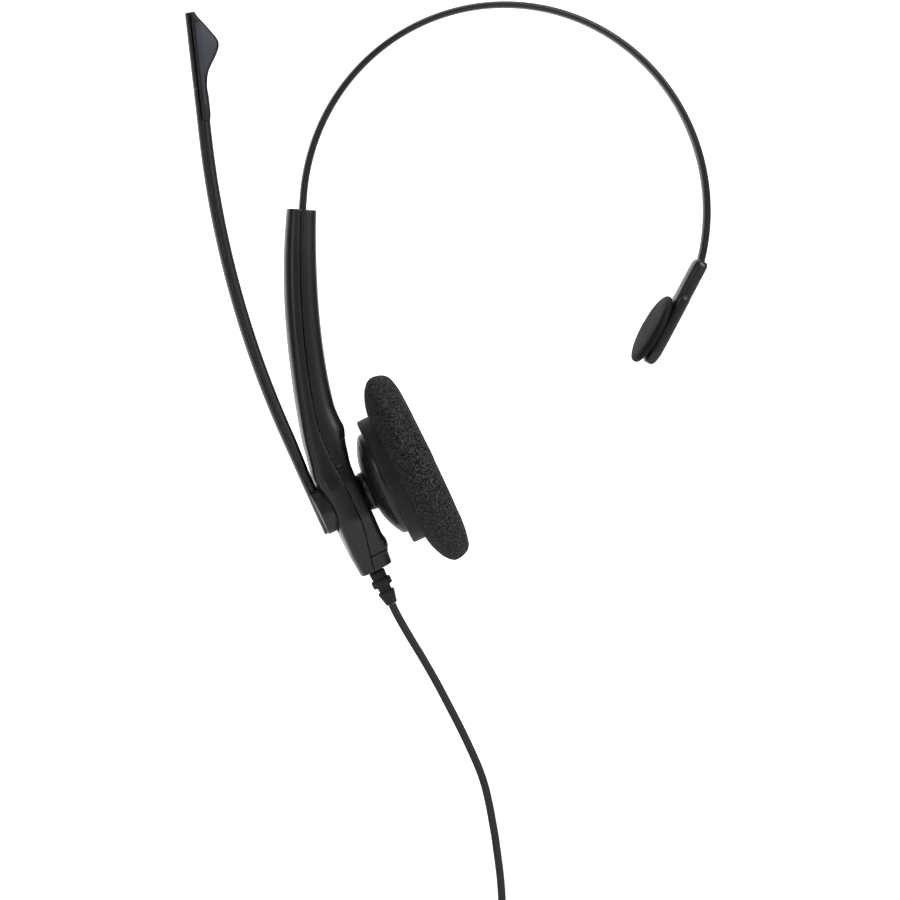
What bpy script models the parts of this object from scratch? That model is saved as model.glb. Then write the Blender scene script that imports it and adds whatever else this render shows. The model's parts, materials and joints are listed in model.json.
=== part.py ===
"""Office headset with one ear cushion, a boom microphone and a plug-in lead, as an assembly of parts.

Units are metres, +Z is up, +X points to the temple pad, and the headband lies in the plane Y = 0. The origin
is the inner surface of the headband at the crown of the head. Three working frames hang from it:
  slide_axis   the far centre of the arc that the slider arm follows along the headband
  hub_frame    on the arm's inner face, +Z towards the ear, +X down the arm, shared by ear cup and boom
  temple_frame on the holder's inner face, +Z towards the head, +X up the holder
"""

import math

import bmesh
import bpy
import numpy as np

MM = 0.001
DEG = math.pi / 180

# ---- fits ----
GAP = 0.3 * MM  # between two pieces that touch on the real object
SLIDE_GAP = 0.4 * MM  # around the band where it runs through the arm's mouth

# ---- headband ----
BAND_RADIUS = 61.7 * MM  # to the middle of the band's thickness
BAND_THICK = 2.1 * MM
BAND_WIDE = 5.0 * MM
SPRING_THICK = 0.5 * MM
SPRING_WIDE = 3.4 * MM
BAND_END_ANGLE = -14.2 * DEG  # where the band enters the temple holder, from +X
ARM_JOIN_ANGLE = 175.0 * DEG  # where the head arc turns into the flat slide arc
BAND_STEP = 7.0 * DEG
SLIDE_RADIUS = 240.0 * MM
HIDDEN_SLIDE = 50.0 * MM  # band inside the arm when the arm is pushed right up
STOP_LONG = 8.0 * MM
STOP_WIDE = 7.0 * MM
STOP_THICK = 3.2 * MM

# ---- temple holder and pad ----
HOLDER_TILT = 28.4 * DEG  # from vertical, leaning in towards the head
HOLDER_THICK = 4.4 * MM
HOLDER_WIDE = 8.8 * MM
HOLDER_OFFSET = 0.15 * MM  # holder's middle outside the band's middle
HOLDER_ABOVE_PAD = 25.0 * MM  # from the band's end to the pad's centre
HOLDER_BELOW_PAD = 9.6 * MM
TANG_RADIUS = 22.0 * MM  # bend that lines the spring up with the holder
TANG_STRAIGHT = 8.0 * MM
SLEEVE_IN_HOLDER = 1.2 * MM
PAD_RADIUS = 11.2 * MM
PAD_RISE = 3.1 * MM
PAD_BASE_RADIUS = 9.9 * MM
PAD_BASE_THICK = 0.5 * MM  # at its rim
PAD_CLEAR = 0.8 * MM  # rim of the base above the holder, for the tilt
PAD_STEM_RADIUS = 2.4 * MM
PAD_STEM_DEPTH = 2.6 * MM
PAD_STEM_CLEAR = 0.5 * MM
PAD_PIN_RADIUS = 0.6 * MM
PAD_PIN_LONG = 7.4 * MM
PAD_PIN_DEPTH = 1.2 * MM  # pin's axis below the holder's inner face

# ---- slider arm ----
ARM_TOP_ANGLE = -3.8 * DEG  # arm's top on the slide arc, above the arc's level point
ARM_CURVED = 65.0 * MM
ARM_BEND_RADIUS = 60.0 * MM
ARM_BEND_ANGLE = 13.8 * DEG
HUB_BELOW_BEND = 9.0 * MM
TAIL_BELOW_HUB = 22.7 * MM
ARM_WALL = 1.4 * MM
COVER_JOINT = 70.0 * MM  # where the slide cover meets the hub cover
TAIL_CAP_AT = 17.9 * MM  # below the hub axis
ARM_INNER = 5.1 * MM  # middle line to the flat inner face at the hub
ARM_OUTER = 6.2 * MM  # middle line to the flat outer face
HUB_SEAT = 10.2 * MM  # seat of the boom's hub, sunk in the outer face, below the inner face
SCREW_OFFSET = 10.5 * MM
SCREW_RADIUS = 0.8 * MM
SCREW_HEAD_RADIUS = 1.6 * MM
SCREW_BOSS_RADIUS = 2.2 * MM

# ---- strain relief: distances from the hub axis along the arm ----
RELIEF_LINE = 6.1 * MM  # below the arm's inner face
RELIEF_STEM_RADIUS = 1.6 * MM
RELIEF_RING_RADIUS = 3.1 * MM
RELIEF_RING_AT = 3.3 * MM  # beyond the tail end
RELIEF_RING_LONG = 2.2 * MM
RELIEF_CONE_AT = 7.3 * MM
RELIEF_LONG = 11.6 * MM
RELIEF_CONE_RADIUS = 2.6 * MM
RELIEF_TIP_RADIUS = 1.7 * MM

# ---- boom: heights are below the arm's inner face ----
BOOM_HUB_RADIUS = 7.4 * MM
SEAT_RADIUS = 7.8 * MM
BOOM_THICK = 3.3 * MM
BOOM_WIDE = 5.4 * MM
BOOM_COVER_THICK = 1.0 * MM
BOOM_STANDOFF = 1.7 * MM  # hub seat to the boom's inner face
BOOM_SWELL = 0.45 * MM  # boom thickens on its inner side by this much clear of the arm
BOOM_TAIL = 6.6 * MM  # boom beyond its pivot
BOOM_ROOT_RISE = 1.3 * DEG
BOOM_STRAIGHT = 25.0 * MM
BOOM_ARC = 92.0 * MM
BOOM_BEND = 17.9 * DEG
BOOM_TIP = 37.0 * MM
BOOM_HUB_FACE = 4.4 * MM  # hub's outer face above its seat
PIVOT_RADIUS = 3.0 * MM
PIVOT_BORE_RADIUS = 1.2 * MM
BUSH_WALL = 0.6 * MM
BUSH_FLANGE = 0.5 * MM
WASHER_THICK = 0.4 * MM
CLIP_THICK = 0.5 * MM
CLIP_GROOVE = 0.6 * MM
COLLAR_RADIUS = 4.8 * MM  # bush flange, washer and clip
LEAD_CHANNEL_WIDE = 1.8 * MM
LEAD_CHANNEL_DEEP = 0.9 * MM
LEAD_RADIUS = 0.3 * MM
MIC_SEAM = 22.5 * MM  # from the boom's end back to the cover's seam
MIC_LONG = 32.0 * MM  # from the boom's end back to the shell's shoulder
MIC_WIDE = 6.8 * MM
MIC_WALL = 1.1 * MM
MIC_CAPSULE_AT = 10.0 * MM  # back from the boom's end
MIC_CAPSULE_RADIUS = 2.0 * MM
MIC_CAPSULE_THICK = 1.5 * MM
MIC_PORT_RADIUS = 0.8 * MM
PLATE_MARGIN = 1.1 * MM
PLATE_THICK = 0.4 * MM
PLATE_RECESS = 0.1 * MM

# ---- ear cup: heights are above the ball's centre ----
BALL_RADIUS = 3.2 * MM
BALL_HEIGHT = 2.4 * MM  # above the arm's inner face
BALL_NECK_RADIUS = 2.0 * MM
BALL_BORE_RADIUS = 0.7 * MM
LINER_WALL = 0.8 * MM
CUP_RADIUS = 16.2 * MM
CUP_RING_RADIUS = 20.0 * MM
CUP_FLANGE_RADIUS = 24.0 * MM
CUP_TURN = 6.0 * DEG  # swivel of the ear cup at rest, about the arm's length
CUP_DROP = 0.5 * MM  # ball's centre below the hub axis
CUSHION_RADIUS = 30.2 * MM
CUSHION_FRONT = 21.2 * MM
COLLAR_REACH = 6.0 * MM  # radius of the cup's collar round the ball
DISH_DEEP = 0.6 * MM  # room in the arm for the collar as it tilts
VENT_COUNT = 24
VENT_RADIUS = 0.6 * MM
VENT_CIRCLE = 14.3 * MM
DRIVER_RADIUS = 17.2 * MM
MAGNET_RADIUS = 7.0 * MM

# ---- lead ----
CORD_RADIUS = 1.2 * MM
HANK_RUN = 40.0 * MM
HANK_FOLD = 14.4 * MM  # between the middles of the two legs
HANK_LEG = 7.2 * MM  # thickness of each leg, both ways
TIE_THICK = 1.0 * MM
TIE_WIDE = 8.0 * MM
TAIL_LONG = 12.0 * MM
BOOT_LONG = 8.0 * MM
PLUG_LONG = 30.0 * MM
PLUG_WIDE = 13.0 * MM
PLUG_THICK = 9.0 * MM
PLUG_WALL = 1.3 * MM

# ---- finishes: base colour, roughness, metallic ----
FINISHES = {
    "matte_black": ((0.012, 0.012, 0.014), 0.48, 0.0),
    "soft_black": ((0.016, 0.016, 0.018), 0.62, 0.0),
    "mic_grey": ((0.050, 0.052, 0.058), 0.50, 0.0),
    "pad_grey": ((0.030, 0.030, 0.031), 0.70, 0.0),
    "foam": ((0.014, 0.014, 0.016), 0.95, 0.0),
    "cord_black": ((0.018, 0.019, 0.021), 0.55, 0.0),
    "steel": ((0.42, 0.43, 0.44), 0.35, 1.0),
    "brass": ((0.70, 0.52, 0.25), 0.32, 1.0),
    "nylon": ((0.55, 0.54, 0.50), 0.55, 0.0),
    "board_green": ((0.02, 0.12, 0.05), 0.50, 0.0),
    "film": ((0.35, 0.34, 0.30), 0.30, 0.0),
    "felt": ((0.05, 0.05, 0.05), 0.95, 0.0),
}


# ---------------------------------------------------------------- mesh tools


def clear_scene():
    for obj in list(bpy.data.objects):
        bpy.data.objects.remove(obj, do_unlink=True)


def finish_material(finish):
    """The Principled material of a named finish, made once."""
    if finish in bpy.data.materials:
        return bpy.data.materials[finish]
    colour, roughness, metallic = FINISHES[finish]
    material = bpy.data.materials.new(finish)
    material.use_nodes = True
    shader = material.node_tree.nodes["Principled BSDF"]
    shader.inputs["Base Color"].default_value = (*colour, 1.0)
    shader.inputs["Roughness"].default_value = roughness
    shader.inputs["Metallic"].default_value = metallic
    material.diffuse_color = (*colour, 1.0)
    return material


def add_object(name, mesh, parent=None, location=(0, 0, 0), rotation=(0, 0, 0)):
    obj = bpy.data.objects.new(name, mesh)
    bpy.context.scene.collection.objects.link(obj)
    obj.parent = parent
    obj.location = location
    obj.rotation_euler = rotation
    return obj


def add_frame(name, parent=None, location=(0, 0, 0), rotation=(0, 0, 0)):
    return add_object(name, None, parent, location, rotation)


def make_piece(name, points, faces, finish, parent=None, location=(0, 0, 0), rotation=(0, 0, 0), smooth=True):
    """One closed body from its points and faces, its faces turned outwards."""
    mesh = bpy.data.meshes.new(name)
    mesh.from_pydata([tuple(p) for p in points], [], faces)
    shape = bmesh.new()
    shape.from_mesh(mesh)
    bmesh.ops.recalc_face_normals(shape, faces=shape.faces)
    shape.to_mesh(mesh)
    shape.free()
    mesh.materials.append(finish_material(finish))
    if smooth:
        mesh.shade_smooth()
        mesh.set_sharp_from_angle(angle=35 * DEG)
    return add_object(name, mesh, parent, location, rotation)


def hide_cutter(cutter):
    cutter.hide_render = True
    cutter.display_type = "WIRE"
    return cutter


def add_boolean(obj, other, operation):
    modifier = obj.modifiers.new(operation.lower(), "BOOLEAN")
    modifier.operation = operation
    modifier.object = hide_cutter(other)
    modifier.solver = "EXACT"


def cut(obj, *cutters):
    for cutter in cutters:
        add_boolean(obj, cutter, "DIFFERENCE")


def join(obj, *additions):
    for addition in additions:
        add_boolean(obj, addition, "UNION")


def ring_faces(rows, count, closed_rows=False):
    """Quads between neighbouring rows of `count` points each, every row a closed loop."""
    faces = []
    for row in range(rows if closed_rows else rows - 1):
        below, above = row * count, (row + 1) % rows * count
        for i in range(count):
            j = (i + 1) % count
            faces.append((below + i, below + j, above + j, above + i))
    return faces


def loft(name, rings, finish, parent=None, **place):
    """A closed body through rings of equal point count, with flat ends."""
    count = len(rings[0])
    faces = ring_faces(len(rings), count)
    faces.append(tuple(range(count)))
    faces.append(tuple(range((len(rings) - 1) * count, len(rings) * count)))
    return make_piece(name, np.concatenate(rings), faces, finish, parent, **place)


def tube_loft(name, outer, inner, finish, parent=None, **place):
    """A closed body between outer rings and the inner rings of its bore."""
    count, rows = len(outer[0]), len(outer)
    points = np.concatenate([*outer, *inner[::-1]])
    return make_piece(name, points, ring_faces(2 * rows, count, closed_rows=True), finish, parent, **place)


def turned(name, outline, finish, parent=None, segments=24, bored=False, **place):
    """Turn an outline of (radius, height) about Z. Unless bored, the outline starts and ends on the axis."""
    angles = np.arange(segments) * 2 * math.pi / segments
    circle = np.stack([np.cos(angles), np.sin(angles), 0 * angles], axis=1)
    rim = outline if bored else outline[1:-1]
    rings = [circle * radius + np.array([0, 0, height]) for radius, height in rim]
    faces = ring_faces(len(rings), segments, closed_rows=bored)
    points = np.concatenate(rings)
    if not bored:
        points = np.concatenate([points, [[0, 0, outline[0][1]], [0, 0, outline[-1][1]]]])
        first, last = len(points) - 2, len(points) - 1
        end = (len(rings) - 1) * segments
        for i in range(segments):
            j = (i + 1) % segments
            faces.append((first, i, j))
            faces.append((last, end + j, end + i))
    return make_piece(name, points, faces, finish, parent, **place)


def rod(name, radius, start, end, finish="steel", parent=None, segments=12, **place):
    """A plain cylinder along Z."""
    outline = [(0, start), (radius, start), (radius, end), (0, end)]
    return turned(name, outline, finish, parent, segments, **place)


def block(name, low, high, finish="steel", parent=None, **place):
    """A plain box between two corners."""
    x0, y0, z0 = low
    x1, y1, z1 = high
    loop = [(x0, y0), (x1, y0), (x1, y1), (x0, y1)]
    rings = [np.array([(x, y, z) for x, y in loop]) for z in (z0, z1)]
    return loft(name, rings, finish, parent, **place)


def rounded_section(wide, thick, count=12, power=3.0):
    """A rounded rectangle as a superellipse: rows of (across the thickness, along Y)."""
    angles = (np.arange(count) + 0.5) * 2 * math.pi / count
    c, s = np.cos(angles), np.sin(angles)
    across = thick / 2 * np.sign(c) * np.abs(c) ** (2 / power)
    along = wide / 2 * np.sign(s) * np.abs(s) ** (2 / power)
    return np.stack([across, along], axis=1)


def box_section(wide, thick):
    return np.array([(thick, -wide), (thick, wide), (-thick, wide), (-thick, -wide)]) / 2


def sweep_rings(path, section):
    """Carry a section along a path of (point, outward direction) in XZ, its first axis being outward."""
    rings = []
    for (x, z), (ox, oz) in path:
        rings.append([(x + ox * a, y, z + oz * a) for a, y in section])
    return [np.array(ring) for ring in rings]


# ---------------------------------------------------------------- centre lines

BAND_INNER = BAND_RADIUS - BAND_THICK / 2
CENTRE_Z = -BAND_INNER  # centre of the head arc below the origin


def polar(angle):
    return np.array([math.cos(angle), math.sin(angle)])


def head_point(angle):
    """Point on the head arc and its outward direction, in the world's XZ plane."""
    return np.array([0, CENTRE_Z]) + BAND_RADIUS * polar(angle), polar(angle)


JOIN_POINT = head_point(ARM_JOIN_ANGLE)[0]
SLIDE_CENTRE = JOIN_POINT - SLIDE_RADIUS * polar(ARM_JOIN_ANGLE)
JOIN_DROP = ARM_JOIN_ANGLE - math.pi  # the join on the slide arc, measured down from its level point


def slide_point(drop):
    """Point on the slide arc at an angle below its level point, about the slide centre."""
    outward = np.array([-math.cos(drop), -math.sin(drop)])
    return SLIDE_RADIUS * outward, outward


BEND_START = ARM_TOP_ANGLE + ARM_CURVED / SLIDE_RADIUS
HUB_TILT = BEND_START + ARM_BEND_ANGLE  # arm's lower part from vertical
DOWN_ARM = np.array([math.sin(HUB_TILT), -math.cos(HUB_TILT)])
TO_EAR = np.array([math.cos(HUB_TILT), math.sin(HUB_TILT)])
BEND_CENTRE = (SLIDE_RADIUS - ARM_BEND_RADIUS) * slide_point(BEND_START)[1]
BEND_LONG = ARM_BEND_RADIUS * ARM_BEND_ANGLE
HUB_AT = ARM_CURVED + BEND_LONG + HUB_BELOW_BEND
TAIL_AT = HUB_AT + TAIL_BELOW_HUB


def arm_point(distance):
    """Arm's middle line at a distance from its top, and the outward direction, about the slide centre."""
    if distance <= ARM_CURVED:
        return slide_point(ARM_TOP_ANGLE + distance / SLIDE_RADIUS)
    if distance <= ARM_CURVED + BEND_LONG:
        drop = BEND_START + (distance - ARM_CURVED) / ARM_BEND_RADIUS
        outward = np.array([-math.cos(drop), -math.sin(drop)])
        return BEND_CENTRE + ARM_BEND_RADIUS * outward, outward
    straight = distance - ARM_CURVED - BEND_LONG
    return BEND_CENTRE - ARM_BEND_RADIUS * TO_EAR + straight * DOWN_ARM, -TO_EAR


HUB_POINT = arm_point(HUB_AT)[0] + ARM_INNER * TO_EAR
HUB_TURN = (0, math.pi / 2 - HUB_TILT, 0)

# the arm's section along its length: place, outer, inner, seam, width, squareness
ARM_SECTIONS = np.array(
    [
        (0, 4.5 * MM, 4.0 * MM, 1.2 * MM, 10.4 * MM, 3.2),
        (0.26 * ARM_CURVED, 4.95 * MM, 4.6 * MM, 0.95 * MM, 11.0 * MM, 3.0),
        (0.5 * ARM_CURVED, 5.05 * MM, 4.95 * MM, 0.9 * MM, 11.6 * MM, 3.0),
        (0.67 * ARM_CURVED, 5.05 * MM, 5.25 * MM, 0.9 * MM, 12.0 * MM, 3.0),
        (0.9 * ARM_CURVED, 5.15 * MM, 5.85 * MM, 0.9 * MM, 12.9 * MM, 3.2),
        (ARM_CURVED - 1.6 * MM, 5.2 * MM, 6.7 * MM, 0.8 * MM, 13.3 * MM, 3.4),
        (ARM_CURVED + 1.5 * MM, 5.25 * MM, 7.45 * MM, 0.5 * MM, 13.6 * MM, 3.6),
        (HUB_AT - 16.7 * MM, 5.4 * MM, 6.6 * MM, -0.1 * MM, 14.2 * MM, 4.0),
        (HUB_AT - 13.9 * MM, 5.6 * MM, 6.2 * MM, -0.4 * MM, 14.5 * MM, 4.4),
        (HUB_AT - 9.4 * MM, ARM_OUTER, 5.4 * MM, -0.7 * MM, 15.2 * MM, 5.0),
        (HUB_AT - 5.0 * MM, ARM_OUTER, ARM_INNER, -0.75 * MM, 17.0 * MM, 5.0),
        (HUB_AT + 5.0 * MM, ARM_OUTER, ARM_INNER, -0.6 * MM, 17.0 * MM, 5.0),
        (HUB_AT + 9.4 * MM, ARM_OUTER, ARM_INNER, -0.3 * MM, 15.2 * MM, 4.8),
        (HUB_AT + 13.0 * MM, ARM_OUTER, ARM_INNER, 0.3 * MM, 13.6 * MM, 4.4),
        (HUB_AT + 15.7 * MM, ARM_OUTER, 5.6 * MM, 0.9 * MM, 12.4 * MM, 4.0),
        (HUB_AT + 17.6 * MM, 6.1 * MM, 5.4 * MM, 1.2 * MM, 11.6 * MM, 3.6),
        (HUB_AT + 18.8 * MM, 6.0 * MM, 4.7 * MM, 1.5 * MM, 11.0 * MM, 3.4),
        (TAIL_AT, 5.7 * MM, 4.3 * MM, 2.0 * MM, 9.6 * MM, 3.2),
    ]
)


def arm_values(distance):
    """Outer, inner, seam, width and squareness of the arm's section at a distance from its top."""
    return [np.interp(distance, ARM_SECTIONS[:, 0], column) for column in ARM_SECTIONS[:, 1:].T]


def arm_stations(start, end):
    """Places for sections: both ends, and every place in the table between them."""
    inside = [place for place in ARM_SECTIONS[:, 0] if start + GAP < place < end - GAP]
    return [start, *inside, end]


def half_section(seam, reach, wide, power, sides=8):
    """Half of a section, from its seam out to `reach`: rows of (offset from the middle line, Y)."""
    angles = np.linspace(0, math.pi, sides + 1)
    c, s = np.cos(angles), np.sin(angles)
    y = wide / 2 * np.sign(c) * np.abs(c) ** (2 / power)
    offset = seam + (reach - seam) * np.abs(s) ** (2 / power)
    return np.stack([offset, y], axis=1)


def arm_rings(start, end, side, inset=0.0):
    """Rings of one side of the arm: side 'outer', 'inner' or 'both', each shrunk by an inset."""
    rings = []
    for distance in arm_stations(start, end):
        outer, inner, seam, wide, power = arm_values(distance)
        wide = wide - 2 * inset
        point, outward = arm_point(distance)
        out_half = half_section(seam + GAP / 2, outer - inset, wide, power)
        in_half = half_section(seam - GAP / 2, -(inner - inset), wide, power)[::-1]
        both = np.concatenate([out_half[:-1], in_half[:-1]])
        section = {"outer": out_half, "inner": in_half, "both": both}[side]
        rings.append(sweep_rings([(point, outward)], section)[0])
    return rings


# ---------------------------------------------------------------- headband and temple end

ALONG_HOLDER = np.array([-math.sin(HOLDER_TILT), -math.cos(HOLDER_TILT)])
TO_TEMPLE = np.array([-math.cos(HOLDER_TILT), math.sin(HOLDER_TILT)])
TANG_TURN = HOLDER_TILT + BAND_END_ANGLE  # between the band's end and the holder
SLOT_WIDE = SPRING_WIDE + 2 * GAP
SLOT_THICK = SPRING_THICK + 2 * GAP
BAND_END = head_point(BAND_END_ANGLE)[0]
PAD_POINT = BAND_END + HOLDER_ABOVE_PAD * ALONG_HOLDER + (HOLDER_THICK / 2 - HOLDER_OFFSET) * TO_TEMPLE
HOLDER_TURN = (0, HOLDER_TILT - math.pi / 2, 0)


def slide_path(start, end, count=2):
    """World path on the slide arc between two distances below the arm's top."""
    path = []
    for distance in np.linspace(start, end, count):
        point, outward = slide_point(ARM_TOP_ANGLE + distance / SLIDE_RADIUS)
        path.append((SLIDE_CENTRE + point, outward))
    return path


def tang_path(start_back, end_extra):
    """The spring's bend and straight end at the temple, from a little way back along the head arc."""
    path = [head_point(BAND_END_ANGLE + start_back / BAND_RADIUS), head_point(BAND_END_ANGLE)]
    centre = BAND_END - TANG_RADIUS * polar(BAND_END_ANGLE)
    for part in (1 / 2, 1):
        direction = polar(BAND_END_ANGLE - TANG_TURN * part)
        path.append((centre + TANG_RADIUS * direction, direction))
    last, outward = path[-1]
    path.append((last + (TANG_STRAIGHT + end_extra) * ALONG_HOLDER, outward))
    return path


def band_path(hidden):
    """Centre line from inside the arm, up the slide arc and round the head to the temple holder."""
    join_distance = (JOIN_DROP - ARM_TOP_ANGLE) * SLIDE_RADIUS
    path = slide_path(hidden, join_distance, 9)[:-1]
    sweep = ARM_JOIN_ANGLE - BAND_END_ANGLE
    count = math.ceil(sweep / BAND_STEP)
    path += [head_point(ARM_JOIN_ANGLE - sweep * i / count) for i in range(count + 1)]
    return path


def make_headband():
    spring = band_path(HIDDEN_SLIDE + STOP_LONG / 2)[:-1] + tang_path(0, 0)[1:]
    loft("headband_spring", sweep_rings(spring, box_section(SPRING_WIDE, SPRING_THICK)), "steel")
    down = np.array([math.sin(BAND_END_ANGLE), -math.cos(BAND_END_ANGLE)])
    sleeve = band_path(HIDDEN_SLIDE - GAP)
    sleeve.append((BAND_END + SLEEVE_IN_HOLDER * down, polar(BAND_END_ANGLE)))
    outer = sweep_rings(sleeve, rounded_section(BAND_WIDE, BAND_THICK, 12, 2.6))
    inner = sweep_rings(sleeve, rounded_section(SLOT_WIDE, SLOT_THICK, 12, 8.0))
    tube_loft("headband_sleeve", outer, inner, "matte_black")
    path = slide_path(HIDDEN_SLIDE, HIDDEN_SLIDE + STOP_LONG)
    stop = loft("band_stop", sweep_rings(path, rounded_section(STOP_WIDE, STOP_THICK, 12, 5.0)), "nylon")
    slot = slide_path(HIDDEN_SLIDE - STOP_LONG, HIDDEN_SLIDE + STOP_LONG / 2 + GAP)
    cut(stop, loft("stop_slot", sweep_rings(slot, box_section(SLOT_WIDE, SLOT_THICK)), "steel"))


def make_holder(frame):
    """Moulded end of the headband: a rounded bar with a slot for the spring and a socket for the pad."""
    top, low = HOLDER_ABOVE_PAD, -HOLDER_BELOW_PAD
    sections = [
        (top + 0.2 * MM, 0.74, 0.74),
        (top - 0.8 * MM, 0.93, 0.98),
        (top - 2.5 * MM, 0.98, 1.0),
        (0, 1.0, 1.0),
        (low + 4.0 * MM, 0.95, 0.96),
        (low + 1.3 * MM, 0.72, 0.80),
        (low, 0.42, 0.50),
    ]
    path = [(np.array([x, -HOLDER_THICK / 2]), np.array([0, 1])) for x, _, _ in sections]
    rings = []
    for place, (_, wide, thick) in zip(path, sections):
        section = rounded_section(HOLDER_WIDE * wide, HOLDER_THICK * thick, 16, 3.0)
        rings += sweep_rings([place], section)
    holder = loft("temple_holder", rings, "matte_black", frame)
    tang_slot = sweep_rings(tang_path(3 * MM, GAP), box_section(SLOT_WIDE, SLOT_THICK))
    down = np.array([math.sin(BAND_END_ANGLE), -math.cos(BAND_END_ANGLE)])
    reach = (-3 * MM, SLEEVE_IN_HOLDER + GAP)
    mouth = [(BAND_END + r * down, polar(BAND_END_ANGLE)) for r in reach]
    mouth_section = rounded_section(BAND_WIDE + 2 * GAP, BAND_THICK + 2 * GAP, 12, 2.6)
    socket_radius = PAD_STEM_RADIUS + PAD_STEM_CLEAR
    socket_floor = -PAD_STEM_DEPTH - PAD_STEM_CLEAR
    cut(
        holder,
        loft("holder_slot", tang_slot, "steel"),
        loft("holder_mouth", sweep_rings(mouth, mouth_section), "steel"),
        rod("holder_socket", socket_radius, socket_floor, HOLDER_THICK, "steel", frame, 16),
        pin_rod("holder_pin_hole", PAD_PIN_RADIUS + GAP, PAD_PIN_LONG + 2 * GAP, frame),
    )


def pin_rod(name, radius, long, frame):
    """A cylinder along Y through the pad's tilt axis."""
    place = {"location": (0, 0, -PAD_PIN_DEPTH), "rotation": (math.pi / 2, 0, 0)}
    return rod(name, radius, -long / 2, long / 2, "steel", frame, 8, **place)


def make_temple_pad(frame):
    top = PAD_CLEAR + PAD_BASE_THICK
    outline = [
        (0, -PAD_STEM_DEPTH),
        (PAD_STEM_RADIUS, -PAD_STEM_DEPTH),
        (PAD_STEM_RADIUS, 0.4 * MM),
        (PAD_STEM_RADIUS + 1.0 * MM, 0.4 * MM),
        (PAD_BASE_RADIUS, PAD_CLEAR),
        (PAD_BASE_RADIUS, top),
        (0, top),
    ]
    base = turned("temple_pad_base", outline, "matte_black", frame)
    cut(base, pin_rod("base_pin_hole", PAD_PIN_RADIUS + GAP, HOLDER_WIDE, frame))
    pin_rod("temple_pin", PAD_PIN_RADIUS, PAD_PIN_LONG, frame)
    skirt = PAD_BASE_RADIUS + GAP
    pad = [
        (0, top + GAP),
        (skirt, top + GAP),
        (skirt, PAD_CLEAR + 0.2 * MM),
        (PAD_RADIUS - 0.3 * MM, PAD_CLEAR + 0.2 * MM),
        (PAD_RADIUS, PAD_CLEAR + 0.8 * MM),
        (PAD_RADIUS - 0.4 * MM, PAD_RISE - 1.4 * MM),
        (PAD_RADIUS - 1.8 * MM, PAD_RISE - 0.7 * MM),
        (PAD_RADIUS - 4.0 * MM, PAD_RISE - 0.2 * MM),
        (PAD_RADIUS - 6.5 * MM, PAD_RISE),
        (0, PAD_RISE),
    ]
    turned("temple_pad", pad, "pad_grey", frame, 32)


# ---------------------------------------------------------------- slider arm


def make_arm(slide_axis, hub_frame):
    """Outer shell, and on the head side a slide cover, a hub cover and a tail cap, over one shared cavity."""
    cap_at = HUB_AT + TAIL_CAP_AT
    cavity_rings = arm_rings(ARM_WALL, TAIL_AT - ARM_WALL, "both", ARM_WALL)
    cavity = loft("arm_cavity", cavity_rings, "steel", slide_axis)
    mouth_path = slide_path(-3 * MM, 2 * ARM_WALL)
    mouth_section = rounded_section(BAND_WIDE + 2 * SLIDE_GAP, BAND_THICK + 2 * SLIDE_GAP, 12, 4.0)
    mouth = loft("arm_mouth", sweep_rings(mouth_path, mouth_section), "steel")
    relief_hole = relief_rod("relief_hole", RELIEF_STEM_RADIUS + GAP, hub_frame)
    shell = loft("arm_outer_shell", arm_rings(0, TAIL_AT, "outer"), "matte_black", slide_axis)
    slide_cover = loft("arm_slide_cover", arm_rings(0, COVER_JOINT, "inner"), "matte_black", slide_axis)
    hub_rings = arm_rings(COVER_JOINT + GAP, cap_at, "inner")
    hub_cover = loft("arm_hub_cover", hub_rings, "matte_black", slide_axis)
    tail_cap = loft("arm_tail_cap", arm_rings(cap_at + GAP, TAIL_AT, "inner"), "matte_black", slide_axis)
    for piece in (shell, slide_cover, hub_cover, tail_cap):
        cut(piece, cavity)
    cut(shell, mouth, relief_hole)
    cut(slide_cover, mouth)
    cut(tail_cap, relief_hole)
    make_hub_seat(shell, cavity, hub_frame)
    dish_radius = COLLAR_REACH + 1.0 * MM
    ball_in_dish = math.sqrt(max(BALL_RADIUS**2 - (BALL_HEIGHT + DISH_DEEP) ** 2, 0))
    stud_radius = max(BALL_NECK_RADIUS, ball_in_dish)
    ball_at = {"location": (CUP_DROP, 0, 0)}
    cut(
        hub_cover,
        rod("stud_hole", stud_radius + GAP, -2 * ARM_WALL, 3 * MM, parent=hub_frame, **ball_at),
        rod("collar_dish", dish_radius, -DISH_DEEP, 3 * MM, parent=hub_frame, segments=24, **ball_at),
    )
    for number, side in enumerate((-1, 1), start=1):
        make_screw_seat(shell, hub_cover, hub_frame, number, side * SCREW_OFFSET)


def make_hub_seat(shell, cavity, frame):
    """A floor left in the outer shell's cavity, with the sunk seat of the boom's hub and its bush's hole."""
    outer_face = -ARM_INNER - ARM_OUTER
    floor = rod("seat_floor", SEAT_RADIUS + MM, outer_face - MM, -HUB_SEAT + ARM_WALL, "steel", frame, 32)
    sink = rod("seat_sink", SEAT_RADIUS, outer_face - 2 * MM, -HUB_SEAT, "steel", frame, 32)
    bush_radius = PIVOT_RADIUS + BUSH_WALL + 2 * GAP
    bush_hole = rod("bush_hole", bush_radius, -HUB_SEAT - MM, -HUB_SEAT + 2 * ARM_WALL, parent=frame)
    cut(cavity, floor)
    cut(shell, sink, bush_hole)


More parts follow.
